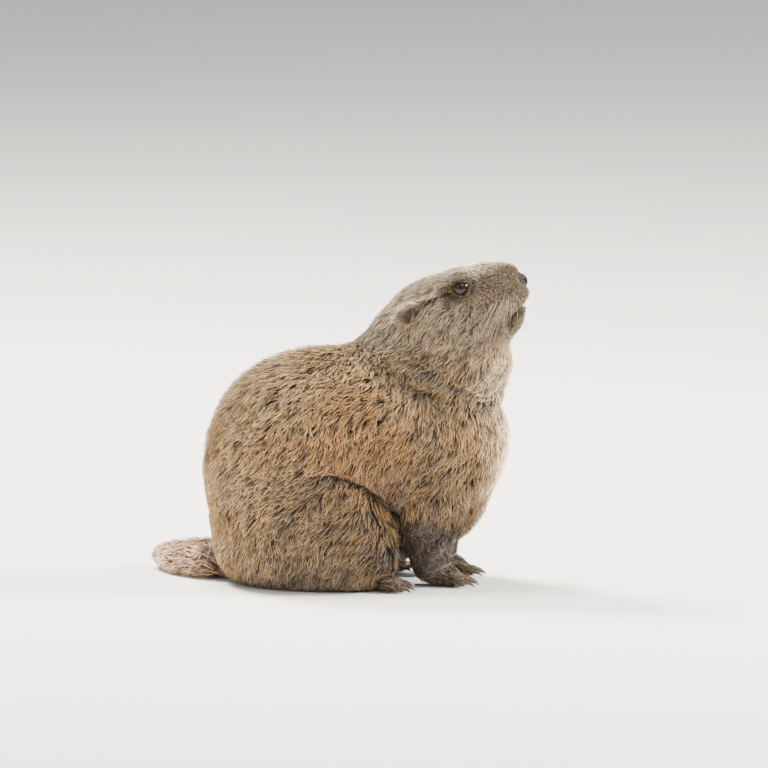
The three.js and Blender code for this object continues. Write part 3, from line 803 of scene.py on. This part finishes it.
def coat_look():
    """Tufts: dark at the root, the marking's tone along them, paler at the tip."""
    look = Look("coat", Roughness=0.62, Specular_IOR_Level=0.35, Sheen_Weight=0.25, Sheen_Roughness=0.4)
    parts = look.add("SeparateColor")
    look.join(look.attribute("hair"), "Color", parts, "Color")
    greys = ((0.4, 0.2), (0.62, 0.62), (0.82, 1.5))
    middle = [(at, (grey, grey * 0.97, grey * 0.94)) for at, grey in greys]
    along = look.stops(parts, "Red", (0.0, (0.07, 0.06, 0.05)), *middle, (1.0, (2.7, 2.55, 2.3)))
    strength = look.add("MapRange", To_Min=0.3, To_Max=1.75)
    look.join(parts, "Green", strength, "Value")
    varied = look.add("VectorMath", operation="SCALE")
    look.join(look.product(look.attribute("tone"), along), "Result", varied, 0)
    look.join(strength, "Result", varied, "Scale")
    look.colour(varied, "Vector")
    return look


def skin_look():
    """The skin under the coat, dark as the hairs' roots, with short down as bump."""
    look = Look("skin", Roughness=0.75, Specular_IOR_Level=0.25)
    noise = look.pattern("TexNoise", Scale=900, Detail=6.0, Roughness=0.6)
    look.bump(noise, "Fac", 0.5, 0.0006)
    down = look.stops(noise, "Fac", (0.3, (0.3, 0.26, 0.23)), (0.75, (0.78, 0.74, 0.68)))
    look.colour(look.product(look.attribute("tone"), down), "Result")
    return look


def eye_look():
    """A wet, near black eye with a deep brown iris round the pupil."""
    look = Look("eye", Roughness=0.05, Specular_IOR_Level=0.35)
    look.colour(look.attribute("tone"), "Color")
    return look


def nose_look():
    """Bare dark skin, pebbled and a little damp."""
    look = Look("nose", Roughness=0.48, Specular_IOR_Level=0.3)
    cells = look.pattern("TexVoronoi", Scale=1700)
    look.bump(cells, "Distance", 0.35, 0.0002)
    colour = look.stops(cells, "Distance", (0, (0.004, 0.003, 0.003)), (1, (0.016, 0.012, 0.01)))
    look.colour(colour, "Color")
    return look


def horn_look():
    """Worn claw horn: dark brown, with paler streaks."""
    look = Look("horn", Roughness=0.36)
    stretch = look.pattern("Mapping", Scale=(180, 900, 900))
    noise = look.add("TexNoise", Scale=1.0, Detail=5.0)
    look.join(stretch, "Vector", noise, "Vector")
    look.bump(noise, "Fac", 0.3, 0.0001)
    streaks = look.stops(noise, "Fac", (0.3, (0.02, 0.014, 0.01)), (0.75, (0.14, 0.10, 0.07)))
    look.colour(streaks, "Color")
    return look


COAT_LOOK = coat_look()
SKIN_LOOK = skin_look()
NOSE_LOOK = nose_look()
HORN_LOOK = horn_look()
EYE_LOOK = eye_look()


def dress(obj, look):
    obj.data.materials.append(look.material)
    return obj


skin = dress(mesh_object("skin", skin_points, skin_faces), SKIN_LOOK)
colour_attribute(skin, "tone", markings(skin_points))
leg_parts = ("hindleg", "foreleg", "hindfoot", "forefoot")
legs = [f"{part}_{side}" for part in leg_parts for side in SIDE_NAME.values()]
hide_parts("head", "neck", "chest", "torso", "tail", *legs)


# Ears: a thin cup on each side of the head

def half_width(u, v):
    """From the head's middle plane out to its side."""
    inner, outer = 0.0, float(HEAD_WIDTH)
    for _ in range(30):
        middle = (inner + outer) / 2
        if body_field(in_head(u, middle, v)[None])[0] < 0:
            inner = middle
        else:
            outer = middle
    return inner


EAR_U, EAR_V = -20, 18.5
EAR_OUT = half_width(EAR_U, 18)
SHELL_RADII, SHELL_OFFSET = (11.8, 4.4, 8.6), (0, 1.5, 0)  # offsets lead forward, outward and up
CUP_RADII, CUP_OFFSET = (9.4, 3.9, 6.2), (2.4, 4.4, -2.6)
EAR_ROOT_OFFSET = (0, -2, -6)


def by_ear(s, offset):
    """A place beside the foot of the ear, at the side of the head."""
    forward, outward, up = offset
    return in_head(EAR_U + forward, s * (EAR_OUT + outward), EAR_V + up)


def ear_ball(s, offset, radii):
    return turned_ball(by_ear(s, offset), radii, turn(pitch=4) @ turn(yaw=s * -30))


EAR_CUPS = {s: ear_ball(s, CUP_OFFSET, CUP_RADII) for s in SIDES}


def ear_field(s):
    shell = ear_ball(s, SHELL_OFFSET, SHELL_RADII)

    def field(p):
        outside = shell(p) + 0.35 * np.abs(waves(p, 9, 12))
        return -smooth_min(-outside, EAR_CUPS[s](p), 0.8)

    return field


def make_ear(s):
    field = ear_field(s)
    points, faces = nets(field, cube(by_ear(s, SHELL_OFFSET), 15, 0.75))
    name = "ear_" + SIDE_NAME[s]
    obj = dress(mesh_object(name + "_flesh", points, faces), SKIN_LOOK)
    _, _, v = head_frame(points)
    inside = ramp((1.2 - np.abs(EAR_CUPS[s](points))) / 1.2)
    tones = mix(HEAD_GREY, CROWN_GREY, ramp((v - 20) / 6))
    colour_attribute(obj, "tone", mix(tones, EYE_DARK, inside * 0.8))
    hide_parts(name)
    return points, faces, field


ears = {s: make_ear(s) for s in SIDES}


# Nose, eyes and claws

def around(side, up, angles):
    """Directions at each angle from one axis towards another."""
    return np.cos(angles)[:, None] * side[..., None, :] + np.sin(angles)[:, None] * up[..., None, :]


def make_nose():
    points, faces = nets(nose_field, cube(in_head(*NOSE_AT), 12, 0.5))
    obj = dress(mesh_object("nose_pad", points, faces), NOSE_LOOK)
    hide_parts("nose")


def make_eye(s):
    _, _, out = eye_axes(s)
    rows, columns = 28, 40
    across = np.linspace(0, 2 * math.pi, columns, endpoint=False)
    down = np.linspace(0, math.pi, rows + 1)[1:-1]
    side = unit(np.cross(out, [0, 0, 1.0]))
    ring = around(side, np.cross(side, out), across)
    body = np.cos(down)[:, None, None] * out + np.sin(down)[:, None, None] * ring
    directions = np.vstack([out, body.reshape(-1, 3), -out])
    points = EYES[s] + EYE_RADIUS * directions
    last = len(directions) - 1
    quads, tips = [], []
    for c in range(columns):
        d = (c + 1) % columns
        tips += [(0, 1 + c, 1 + d), (last, last - columns + d, last - columns + c)]
    for start in range(1, last - columns, columns):
        for c in range(columns):
            a, b = start + c, start + (c + 1) % columns
            quads.append((a, a + columns, b + columns, b))
    mesh = bpy.data.meshes.new("eye")
    mesh.from_pydata(((points + SHIFT) * MM).tolist(), [], quads + tips)
    mesh.polygons.foreach_set("use_smooth", [True] * len(mesh.polygons))
    obj = dress(link("eye_globe_" + SIDE_NAME[s], mesh), EYE_LOOK)
    angle = np.arccos(np.clip(directions @ out, -1, 1))
    pupil, iris, rim = np.array([0.002] * 3), tone(34, 22, 15), tone(18, 13, 10)
    tones = mix(pupil, iris, ramp((angle - 0.42) / 0.12))
    colour_attribute(obj, "tone", mix(tones, rim, ramp((angle - 0.72) / 0.15)))
    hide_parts("eye_" + SIDE_NAME[s])


def sweep(spine, radii, sides):
    """A closed round form along a line of points."""
    spine, radii = np.asarray(spine, float), np.asarray(radii, float)
    along = unit(np.gradient(spine, axis=0))
    side = unit(np.cross([0, 0, 1.0], along) + [1e-6, 0, 0])
    ring = around(side, np.cross(along, side), np.linspace(0, 2 * math.pi, sides, endpoint=False))
    points = (spine[:, None] + radii[:, None, None] * ring).reshape(-1, 3)
    base, last = len(points), len(points) - sides
    faces, ends = [], []
    for i in range(sides):
        j = (i + 1) % sides
        ends += [(base, j, i), (base + 1, last + i, last + j)]
    for start in range(0, last, sides):
        for i in range(sides):
            a, b = start + i, start + (i + 1) % sides
            faces += [(a, b, b + sides), (a, b + sides, a + sides)]
    return np.vstack([points, spine[0], spine[-1]]), np.array(faces + ends)


def joined(pieces):
    """Several point and face sets as one."""
    starts = np.cumsum([0] + [len(points) for points, _ in pieces])
    return np.vstack([p for p, _ in pieces]), np.vstack([f + n for (_, f), n in zip(pieces, starts)])


def make_claws():
    pieces, names = [], []
    t = np.linspace(-0.3, 1, 12)
    fall = np.clip(t, 0, 1)
    thick = 1.75 * np.clip(1.02 - fall ** 1.7, 0.06, 1) * np.where(t < 0, 0.9, 1)
    for (kind, s), foot in FEET.items():
        for n, (root, tip) in enumerate(foot["toes"]):
            ahead = (tip - root) * [1, 1, 0]
            ahead = ahead / np.linalg.norm(ahead)
            spine = tip + ahead * (0.62 * foot["radius"] + 0.6 + foot["claw"] * t)[:, None]
            spine[:, 2] = tip[2] + 0.6 - 3.6 * fall ** 2
            pieces.append(sweep(spine, thick, 9))
            names.append(f"{kind}claw_{SIDE_NAME[s]}_{n + 1}")
    obj = dress(mesh_object("claws", *joined(pieces)), HORN_LOOK)
    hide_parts(*names)


make_nose()
for s in SIDES:
    make_eye(s)
make_claws()


# Coat

NOSE_TIP = in_head(74, 0, -5)
DROOP = 0.45  # how far the coat's lie turns down
STRAY = 0.5  # how far single tufts turn from it
CLUMP = 7  # tufts that gather round one
DENSITY = 3.9
MOST_TUFTS = 1.5  # for a square millimetre
MAX_PIECE_TRIANGLES = 199000
ROOT_DEPTH = 0.45
BURIED = 0.5  # no tuft grows on the ear's foot, deeper than this in the head
TUFT_FLOOR = 0.9  # the least height of a tuft's middle line
FLOOR_GAP = 0.12  # and of its edges
SMOOTHING = 0.9  # the step that evens out the skin's slopes under the tufts
PATCH = 0.003  # each tuft's share of the unwrap
RING_WIDTHS = (0.7, 1.0, 0.68)
LONG_STATIONS = (0, 0.4, 0.74)
SHORT_STATIONS = (0, 0.55)
SHORT_COAT = 9.0  # tufts below this length have fewer rings
GUARD_SHARE = 0.34  # of the tufts, which are slimmer, longer and paler than the rest
GUARD = {"length": 1.12, "width": 0.55, "light": 1.35}
UNDERCOAT = {"width": 1.05, "light": 0.86}


def head_share(p):
    """1 on the head, falling to 0 where the long coat of the neck starts."""
    return 1 - ramp(from_head(p) / 30)


def fade(a, b, share):
    """From a to b as the share goes from 0 to 1."""
    return a * (1 - share) + b * share


def flattened(flow, normal):
    """Directions turned into the surface."""
    return unit(flow - (flow * normal).sum(-1, keepdims=True) * normal)


def lie_of_coat(p, normal):
    """Away from the nose and turned down, round the eyes, down the legs and along feet and tail."""
    lie = unit(p - NOSE_TIP)
    lie[:, 2] -= DROOP
    lower = 0.75 * (ramp((92 - p[:, 2]) / 50) * ramp((p[:, 0] - 10) / 20))
    lie = fade(lie, np.array([0.1, 0, -1.0]), lower[:, None])
    for s in SIDES:
        q = p - EYES[s]
        near = bell(np.linalg.norm(q, axis=1) - 7, 6.5)
        lie = lie + 0.85 * near[:, None] * unit(q)
    lie = fade(lie, np.array([1, 0, -0.35]), near_feet(p, edge=6)[:, None])
    place = (tail_place(p) * TAIL_LAST).astype(int)
    along = unit(TAIL[np.minimum(place + 1, TAIL_LAST)] - TAIL[np.maximum(place - 1, 0)])
    lie = flattened(fade(lie, along, near_tail(p, 5, -100, 12)[:, None]), normal)
    swirl = 0.32 * waves(p, 38, 21) + 0.22 * waves(p, 13, 22)
    return unit(lie + swirl[:, None] * np.cross(normal, lie))


def coat_length(p):
    u, _, v = head_frame(p)
    head = 3.2 + 8.6 * ramp((52 - u) / 60) + 2.2 * ramp((-v - 8) / 20) * ramp((44 - u) / 30)
    chin = ramp((-v - 30) / 8) * ramp((u - 30) / 14)
    head = head + 1.8 * chin
    for s in SIDES:
        away = np.linalg.norm(p - EYES[s], axis=1)
        head = head * (0.62 + 0.38 * ramp((away - 8) / 9))
    bib = patch(p, (106, 0, 130), (26, 36, 80), 0.6, 8)
    arm = ramp((p[:, 0] - 22) / 8) * ramp((70 - p[:, 2]) / 45)
    body = (13.0 + 4 * bib) * (1 - 0.6 * arm)
    length = fade(fade(body, head, head_share(p)), 4.2, near_feet(p))
    end = ramp((tail_place(p) - 0.72) / 0.28)
    return fade(length, 21 - 14 * end, near_tail(p))


def tuft_width(length):
    return 0.38 + 0.06 * length


def tuft_density(length):
    """Tufts for each square millimetre, so that they overlap alike everywhere."""
    return np.minimum(DENSITY / (length * tuft_width(length)) ** 0.72, MOST_TUFTS)


def scatter(points, faces, density):
    """Places spread over a surface by area."""
    tri = np.vstack([faces[:, [0, 1, 2]], faces[:, [0, 2, 3]]])
    a, b, c = points[tri[:, 0]], points[tri[:, 1]], points[tri[:, 2]]
    area = np.linalg.norm(np.cross(b - a, c - a), axis=1) / 2
    centre = (a + b + c) / 3
    count = (area * density(centre) + rng.random(len(area))).astype(int)
    which = np.repeat(np.arange(len(tri)), count)
    m, n = rng.random(len(which)), rng.random(len(which))
    over = m + n > 1
    m[over], n[over] = 1 - m[over], 1 - n[over]
    return a[which] + m[:, None] * (b - a)[which] + n[:, None] * (c - a)[which]


def bare(p):
    """Where no coat grows: the eyes and lids' rims, the nose, the lips' edge and the soles."""
    u, _, v = head_frame(p)
    out = p[:, 2] < 1.2
    for s in SIDES:
        edge, off, _ = opening(p, s)
        out |= (edge < 1.1) & (off < 5)
    out |= nose_field(p) < 1.5
    out |= (mouth_distance(u, v) < 1.5) & (u > 40)
    out |= (feet_field(p) < 2) & (p[:, 2] < 2.6)
    return out


def clumped(roots, tips, length, pull):
    """Draws the tufts' tips towards the nearest leader's, as a coat's hairs gather."""
    count = max(int(len(roots) / CLUMP), 1)
    leaders = rng.choice(len(roots), count, replace=False)
    tree = kdtree.KDTree(count)
    for n, leader in enumerate(leaders):
        tree.insert(Vector(roots[leader]), n)
    tree.balance()
    nearest = np.array([tree.find(Vector(r))[1] for r in roots])
    goal = tips[leaders[nearest]] + 0.25 * (tips - tips[leaders[nearest]])
    move = (goal - tips) * pull[:, None]
    reach = np.linalg.norm(move, axis=1, keepdims=True)
    return tips + move * np.minimum(1, 0.55 * length[:, None] / np.maximum(reach, 1e-6))


def grow(roots, field, length, width, depth, stations, tones, lie=lie_of_coat):
    """Closed, three-sided, tapered tufts that rise from the skin and bend over to lie along it."""
    shade = np.clip(0.5 + 0.27 * rng.normal(size=len(roots)) + 0.08 * waves(roots, 15, 31), 0, 1)
    normal = unit(gradient(field, roots, SMOOTHING))
    flow = lie(roots, normal)
    spread = STRAY * (rng.normal(size=len(roots)) * 0.6 + 0.75 * waves(roots, 7, 41))
    flow = unit(flow + spread[:, None] * np.cross(normal, flow))
    tips = clumped(roots, roots + flow * length[:, None], length, rng.uniform(0.15, 0.7, len(roots)))
    lift = depth * np.clip(rng.normal(1.0, 0.22, len(roots)), 0.5, 1.6)
    places, outs = [], []
    for s in stations + (1.0,):
        spot = roots + (tips - roots) * s ** 1.1
        height = -ROOT_DEPTH if s == 0 else lift * (1 - (1 - s) ** 1.45)
        for _ in range(2):
            g = gradient(field, spot, SMOOTHING)
            size = np.maximum(np.linalg.norm(g, axis=1), 0.3)
            step = np.clip((height - field(spot)) / size, -4, 4)
            spot = spot + (step / size)[:, None] * g
        spot[:, 2] = np.maximum(spot[:, 2], TUFT_FLOOR)
        places.append(spot)
        outs.append(unit(g))
    rings = []
    for n in range(len(stations)):
        along = unit(places[n + 1] - places[n])
        across = unit(np.cross(outs[n], along))
        wide = (width * RING_WIDTHS[n] * 0.5)[:, None]
        up = unit(np.cross(along, across))
        rings += [places[n] + across * wide, places[n] + up * (0.62 * wide), places[n] - across * wide]
    points = np.stack([*rings, places[-1]], 1)
    points[..., 2] = np.maximum(points[..., 2], FLOOR_GAP)
    top = 3 * len(stations)
    faces = [(0, 1, 2)]
    for ring in range(0, top - 3, 3):
        for i in range(3):
            a, b = ring + i, ring + (i + 1) % 3
            faces += [(a, a + 3, b + 3), (a, b + 3, b)]
    faces += [(top - 3 + i, top, top - 3 + (i + 1) % 3) for i in range(3)]
    run = np.array([s for s in stations for _ in range(3)] + [1.0])
    cross = np.array([0.0, 0.5, 1.0] * len(stations) + [0.5])
    return {"points": points, "faces": np.array(faces), "run": run, "cross": cross, "roots": roots,
            "shade": shade, "tones": tones}


def octahedral(direction):
    """Each direction's own place in the unit square."""
    d = direction / np.abs(direction).sum(-1, keepdims=True)
    folded = (1 - np.abs(d[:, [1, 0]])) * np.where(d[:, :2] >= 0, 1, -1)
    flat = np.where(d[:, 2:3] < 0, folded, d[:, :2])
    return flat * 0.5 + 0.5


def coat_piece(name, batches, centre):
    """One coat mesh, with each tuft's patch on the skin's unwrap as seen from the piece's middle."""
    points, faces, uvs, hair, tones, start = [], [], [], [], [], 0
    for b in batches:
        count, size = b["points"].shape[:2]
        faces.append((b["faces"] + start + np.arange(count)[:, None, None] * size).reshape(-1, 3))
        at = octahedral(unit(b["roots"] - centre)) * (1 - PATCH)
        uvs.append((at[:, None] + PATCH * np.stack([b["run"], b["cross"]], -1)).reshape(-1, 2))
        along = np.broadcast_to(b["run"], (count, size))
        shade = np.broadcast_to(b["shade"][:, None], (count, size))
        hair.append(np.stack([along, shade, 0 * along], -1).reshape(-1, 3))
        points.append(b["points"].reshape(-1, 3))
        tones.append(np.repeat(b["tones"], size, axis=0))
        start += count * size
    faces = np.vstack(faces)
    assert len(faces) < MAX_PIECE_TRIANGLES, (name, len(faces))
    obj = mesh_object(name, np.vstack(points), faces)
    layer = obj.data.uv_layers.new(name="OFBake")
    layer.data.foreach_set("uv", np.vstack(uvs)[faces.ravel()].astype(np.float32).ravel())
    colour_attribute(obj, "hair", np.vstack(hair))
    colour_attribute(obj, "tone", np.vstack(tones))
    dress(obj, COAT_LOOK)


def pile(p):
    """How far the coat's tips stand over the skin."""
    return fade(fade(coat_depth(p), 1.1, near_feet(p)), 5.2, near_tail(p))


def on_tail(p, start):
    return (tail_field(p) < 3) & (p[:, 0] < start)


def on_feet(p):
    return (feet_field(p) < 3) & (p[:, 2] < 22)


BODY_REGIONS = ("rump", "flank", "shoulder", "arm", "chest", "head")
REGION_NAMES = [f"coat_{part}_{side}" for part in BODY_REGIONS for side in SIDE_NAME.values()]
REGION_NAMES += ["coat_tail", "coat_feet"]


def regions_of(roots):
    """The number of each root's piece of the coat."""
    left = roots[:, 1] > 0
    on_head = head_share(roots) > 0.5
    region = np.digitize(roots[:, 0], [-84, -40, 0, 44]) * 2 + left
    region[on_head] = REGION_NAMES.index("coat_head_right") + left[on_head]
    region[on_tail(roots, -100)] = REGION_NAMES.index("coat_tail")
    region[on_feet(roots)] = REGION_NAMES.index("coat_feet")
    return region


def make_coat():
    def density(p):
        return tuft_density(coat_length(p)) * (1.0 - bare(p)) * np.where(on_feet(p), 0.5, 1.0)

    roots = scatter(skin_points, skin_faces, density)
    length = coat_length(roots) * rng.uniform(0.72, 1.28, len(roots))
    depth = pile(roots)
    tones = markings(roots)
    guard = rng.random(len(roots)) < GUARD_SHARE
    length[guard] *= GUARD["length"]
    depth[guard] = depth[guard] * 1.25 + 0.3
    tones[guard] = mix(tones[guard], GUARD_TONE, np.full(guard.sum(), 0.08)) * GUARD["light"]
    tones[~guard] *= UNDERCOAT["light"]
    fringe = on_tail(roots, -112) & (rng.random(len(roots)) < 0.4)
    tones[fringe] = mix(tones[fringe], TAIL_FRINGE, np.full(fringe.sum(), 0.7))
    slim = np.where(guard, GUARD["width"], UNDERCOAT["width"])
    region = regions_of(roots)
    short = (coat_length(roots) < SHORT_COAT) | guard
    for n, name in enumerate(REGION_NAMES):
        batches = []
        for kind, stations in ((short, SHORT_STATIONS), (~short, LONG_STATIONS)):
            chosen = np.flatnonzero((region == n) & kind)
            if len(chosen) < 20:
                continue
            size = length[chosen]
            width = tuft_width(size) * rng.uniform(0.8, 1.25, len(size)) * slim[chosen]
            batch = grow(roots[chosen], skin_map, size, width, depth[chosen], stations, tones[chosen])
            batches.append(batch)
        coat_piece(name, batches, np.mean(roots[region == n], axis=0))


def make_ear_coat(s):
    points, faces, field = ears[s]

    def lie(p, normal):
        return flattened(unit(p - by_ear(s, EAR_ROOT_OFFSET)) + [-0.3, 0, -0.1], normal)

    def density(p):
        return np.where(skin_map(p) < -BURIED, 0.0, MOST_TUFTS)

    roots = scatter(points, faces, density)
    inner = ramp((1.6 - EAR_CUPS[s](roots)) / 1.4)
    keep = rng.random(len(roots)) > inner * 0.45
    roots, inner = roots[keep], inner[keep]
    length = rng.uniform(3.0, 5.2, len(roots)) * (1 - 0.25 * inner)
    width = 0.55 * rng.uniform(0.8, 1.25, len(roots))
    upper = ramp(((roots - by_ear(s, CUP_OFFSET))[:, 2] - 1.5) / 4)
    tones = mix(HEAD_GREY, tone(226, 208, 178), upper * (1 - inner) * 0.8)
    tones = mix(tones, EYE_DARK, inner * (0.75 - 0.5 * upper))
    batch = grow(roots, field, length, width, np.full(len(roots), 1.0), SHORT_STATIONS, tones, lie)
    coat_piece("coat_ear_" + SIDE_NAME[s], [batch], by_ear(s, SHELL_OFFSET))


# Whiskers: stiff tapered hairs in rows on the lip, and a few over the eye, on the cheek and the chin

def whisker(root, direction, length, thickness, bend):
    """Directions are the head's: forward, to the left and towards the crown."""
    t = np.linspace(0, 1, 9)[:, None]
    direction = unit(HEAD_AXES @ np.array(direction))
    spine = root + direction * length * t + HEAD_AXES @ np.array(bend) * length * t ** 2
    return sweep(spine - direction * 1.2, thickness / 2 * np.clip(1.04 - t[:, 0] ** 1.3, 0.05, 1), 5)


def on_skin(u, y, v):
    """The point of the skin nearest to a place in or beside the head."""
    spot = in_head(u, y, v)[None]
    for _ in range(12):
        g = gradient(skin_map, spot, SMOOTHING)
        spot = spot - (skin_map(spot) / np.maximum((g * g).sum(-1), 0.3))[:, None] * g
    return spot[0]


# Number, first root and step, direction, length with its least and most share, thickness and bend
WHISKERS = (
    (4, (24, 30, 25), (-3, 0.5), (-0.2, 0.45, 0.75), 20, (0.8, 1.1), 0.26, (-0.4, 0, 0)),
    (3, (20, 40, -18), (3, -2), (-0.2, 0.9, -0.5), 17, (0.8, 1.1), 0.26, (-0.2, 0, -0.2)),
    (4, (62, 3.5, -40), (-4, 0), (0.42, 0.35, -0.55), 11, (0.8, 1.2), 0.24, (-0.1, 0, -0.2)),
)


def lip_whisker(s, row, n):
    root = on_skin(66 - 4.4 * n + 0.7 * row, s * 30, -8 - 3.1 * row)
    direction = (0.1 - 0.16 * n, s * 0.95, -0.18 - 0.1 * row)
    return whisker(root, direction, (18 + 7 * n) * rng.uniform(0.85, 1.1), 0.3, (-0.22, 0, -0.16))


def make_whiskers():
    pieces = []
    for s in SIDES:
        pieces += [lip_whisker(s, row, n) for row in range(4) for n in range(5)]
        for number, (u, y, v), (du, dv), (ahead, aside, up), length, shares, thickness, bend in WHISKERS:
            for n in range(number):
                root = on_skin(u + du * n, s * y, v + dv * n)
                size = length * rng.uniform(*shares)
                pieces.append(whisker(root, (ahead, s * aside, up), size, thickness, bend))
    look = Look("whisker", Base_Color=(0.42, 0.34, 0.25, 1), Roughness=0.35)
    dress(mesh_object("whiskers", *joined(pieces)), look)


make_coat()
for s in SIDES:
    make_ear_coat(s)
make_whiskers()


# Floor, light and camera

def make_floor():
    bpy.ops.mesh.primitive_plane_add(size=40, location=(0, 0, 0))
    floor = bpy.context.object
    floor.name = "floor"
    floor.data.materials.append(Look("floor", Base_Color=(0.78, 0.76, 0.72, 1), Roughness=0.8).material)


LIT_PLACE = Vector((0, 0, 0.12))

# Name, place, size, power and colour
LIGHTS = (
    ("rim_left", (-1.2, 1.5, 2.3), 0.8, 290, (1.0, 0.95, 0.87)),
    ("rim_right", (2.1, 0.1, 1.3), 0.8, 170, (1.0, 0.95, 0.88)),
    ("top", (-0.3, 0.5, 2.7), 0.9, 150, (1.0, 0.96, 0.9)),
    ("key", (0.9, -1.9, 2.6), 2.0, 36, (1.0, 0.95, 0.88)),
    ("fill", (-1.8, -1.9, 0.9), 1.8, 12, (0.95, 0.97, 1.0)),
)


def area_light(name, place, size, power, colour):
    data = bpy.data.lights.new(name, "AREA")
    data.shape, data.size, data.energy, data.color = "DISK", size, power, colour
    obj = bpy.data.objects.new(name, data)
    obj.location = place
    obj.rotation_euler = (LIT_PLACE - Vector(place)).to_track_quat("-Z", "Y").to_euler()
    bpy.context.collection.objects.link(obj)


def make_lights():
    world = bpy.data.worlds.new("studio")
    world.use_nodes = True
    sky = world.node_tree.nodes["Background"].inputs
    sky["Color"].default_value = (0.95, 0.97, 1.0, 1)
    sky["Strength"].default_value = 0.74
    bpy.context.scene.world = world
    for light in LIGHTS:
        area_light(*light)


CAMERA = {"aim": (0.0340, 0.0, 0.1580), "distance": 8.0, "elevation": 7.0, "lens": 470.0}


def make_camera():
    data = bpy.data.cameras.new("photo")
    data.lens = CAMERA["lens"]
    data.sensor_width = 36
    data.sensor_fit = "HORIZONTAL"
    camera = bpy.data.objects.new("photo", data)
    elevation = math.radians(CAMERA["elevation"])
    away = Vector((0, -math.cos(elevation), math.sin(elevation)))
    camera.location = Vector(CAMERA["aim"]) + away * CAMERA["distance"]
    camera.rotation_euler = (-away).to_track_quat("-Z", "Y").to_euler()
    bpy.context.collection.objects.link(camera)
    bpy.context.scene.camera = camera


make_floor()
make_lights()
make_camera()
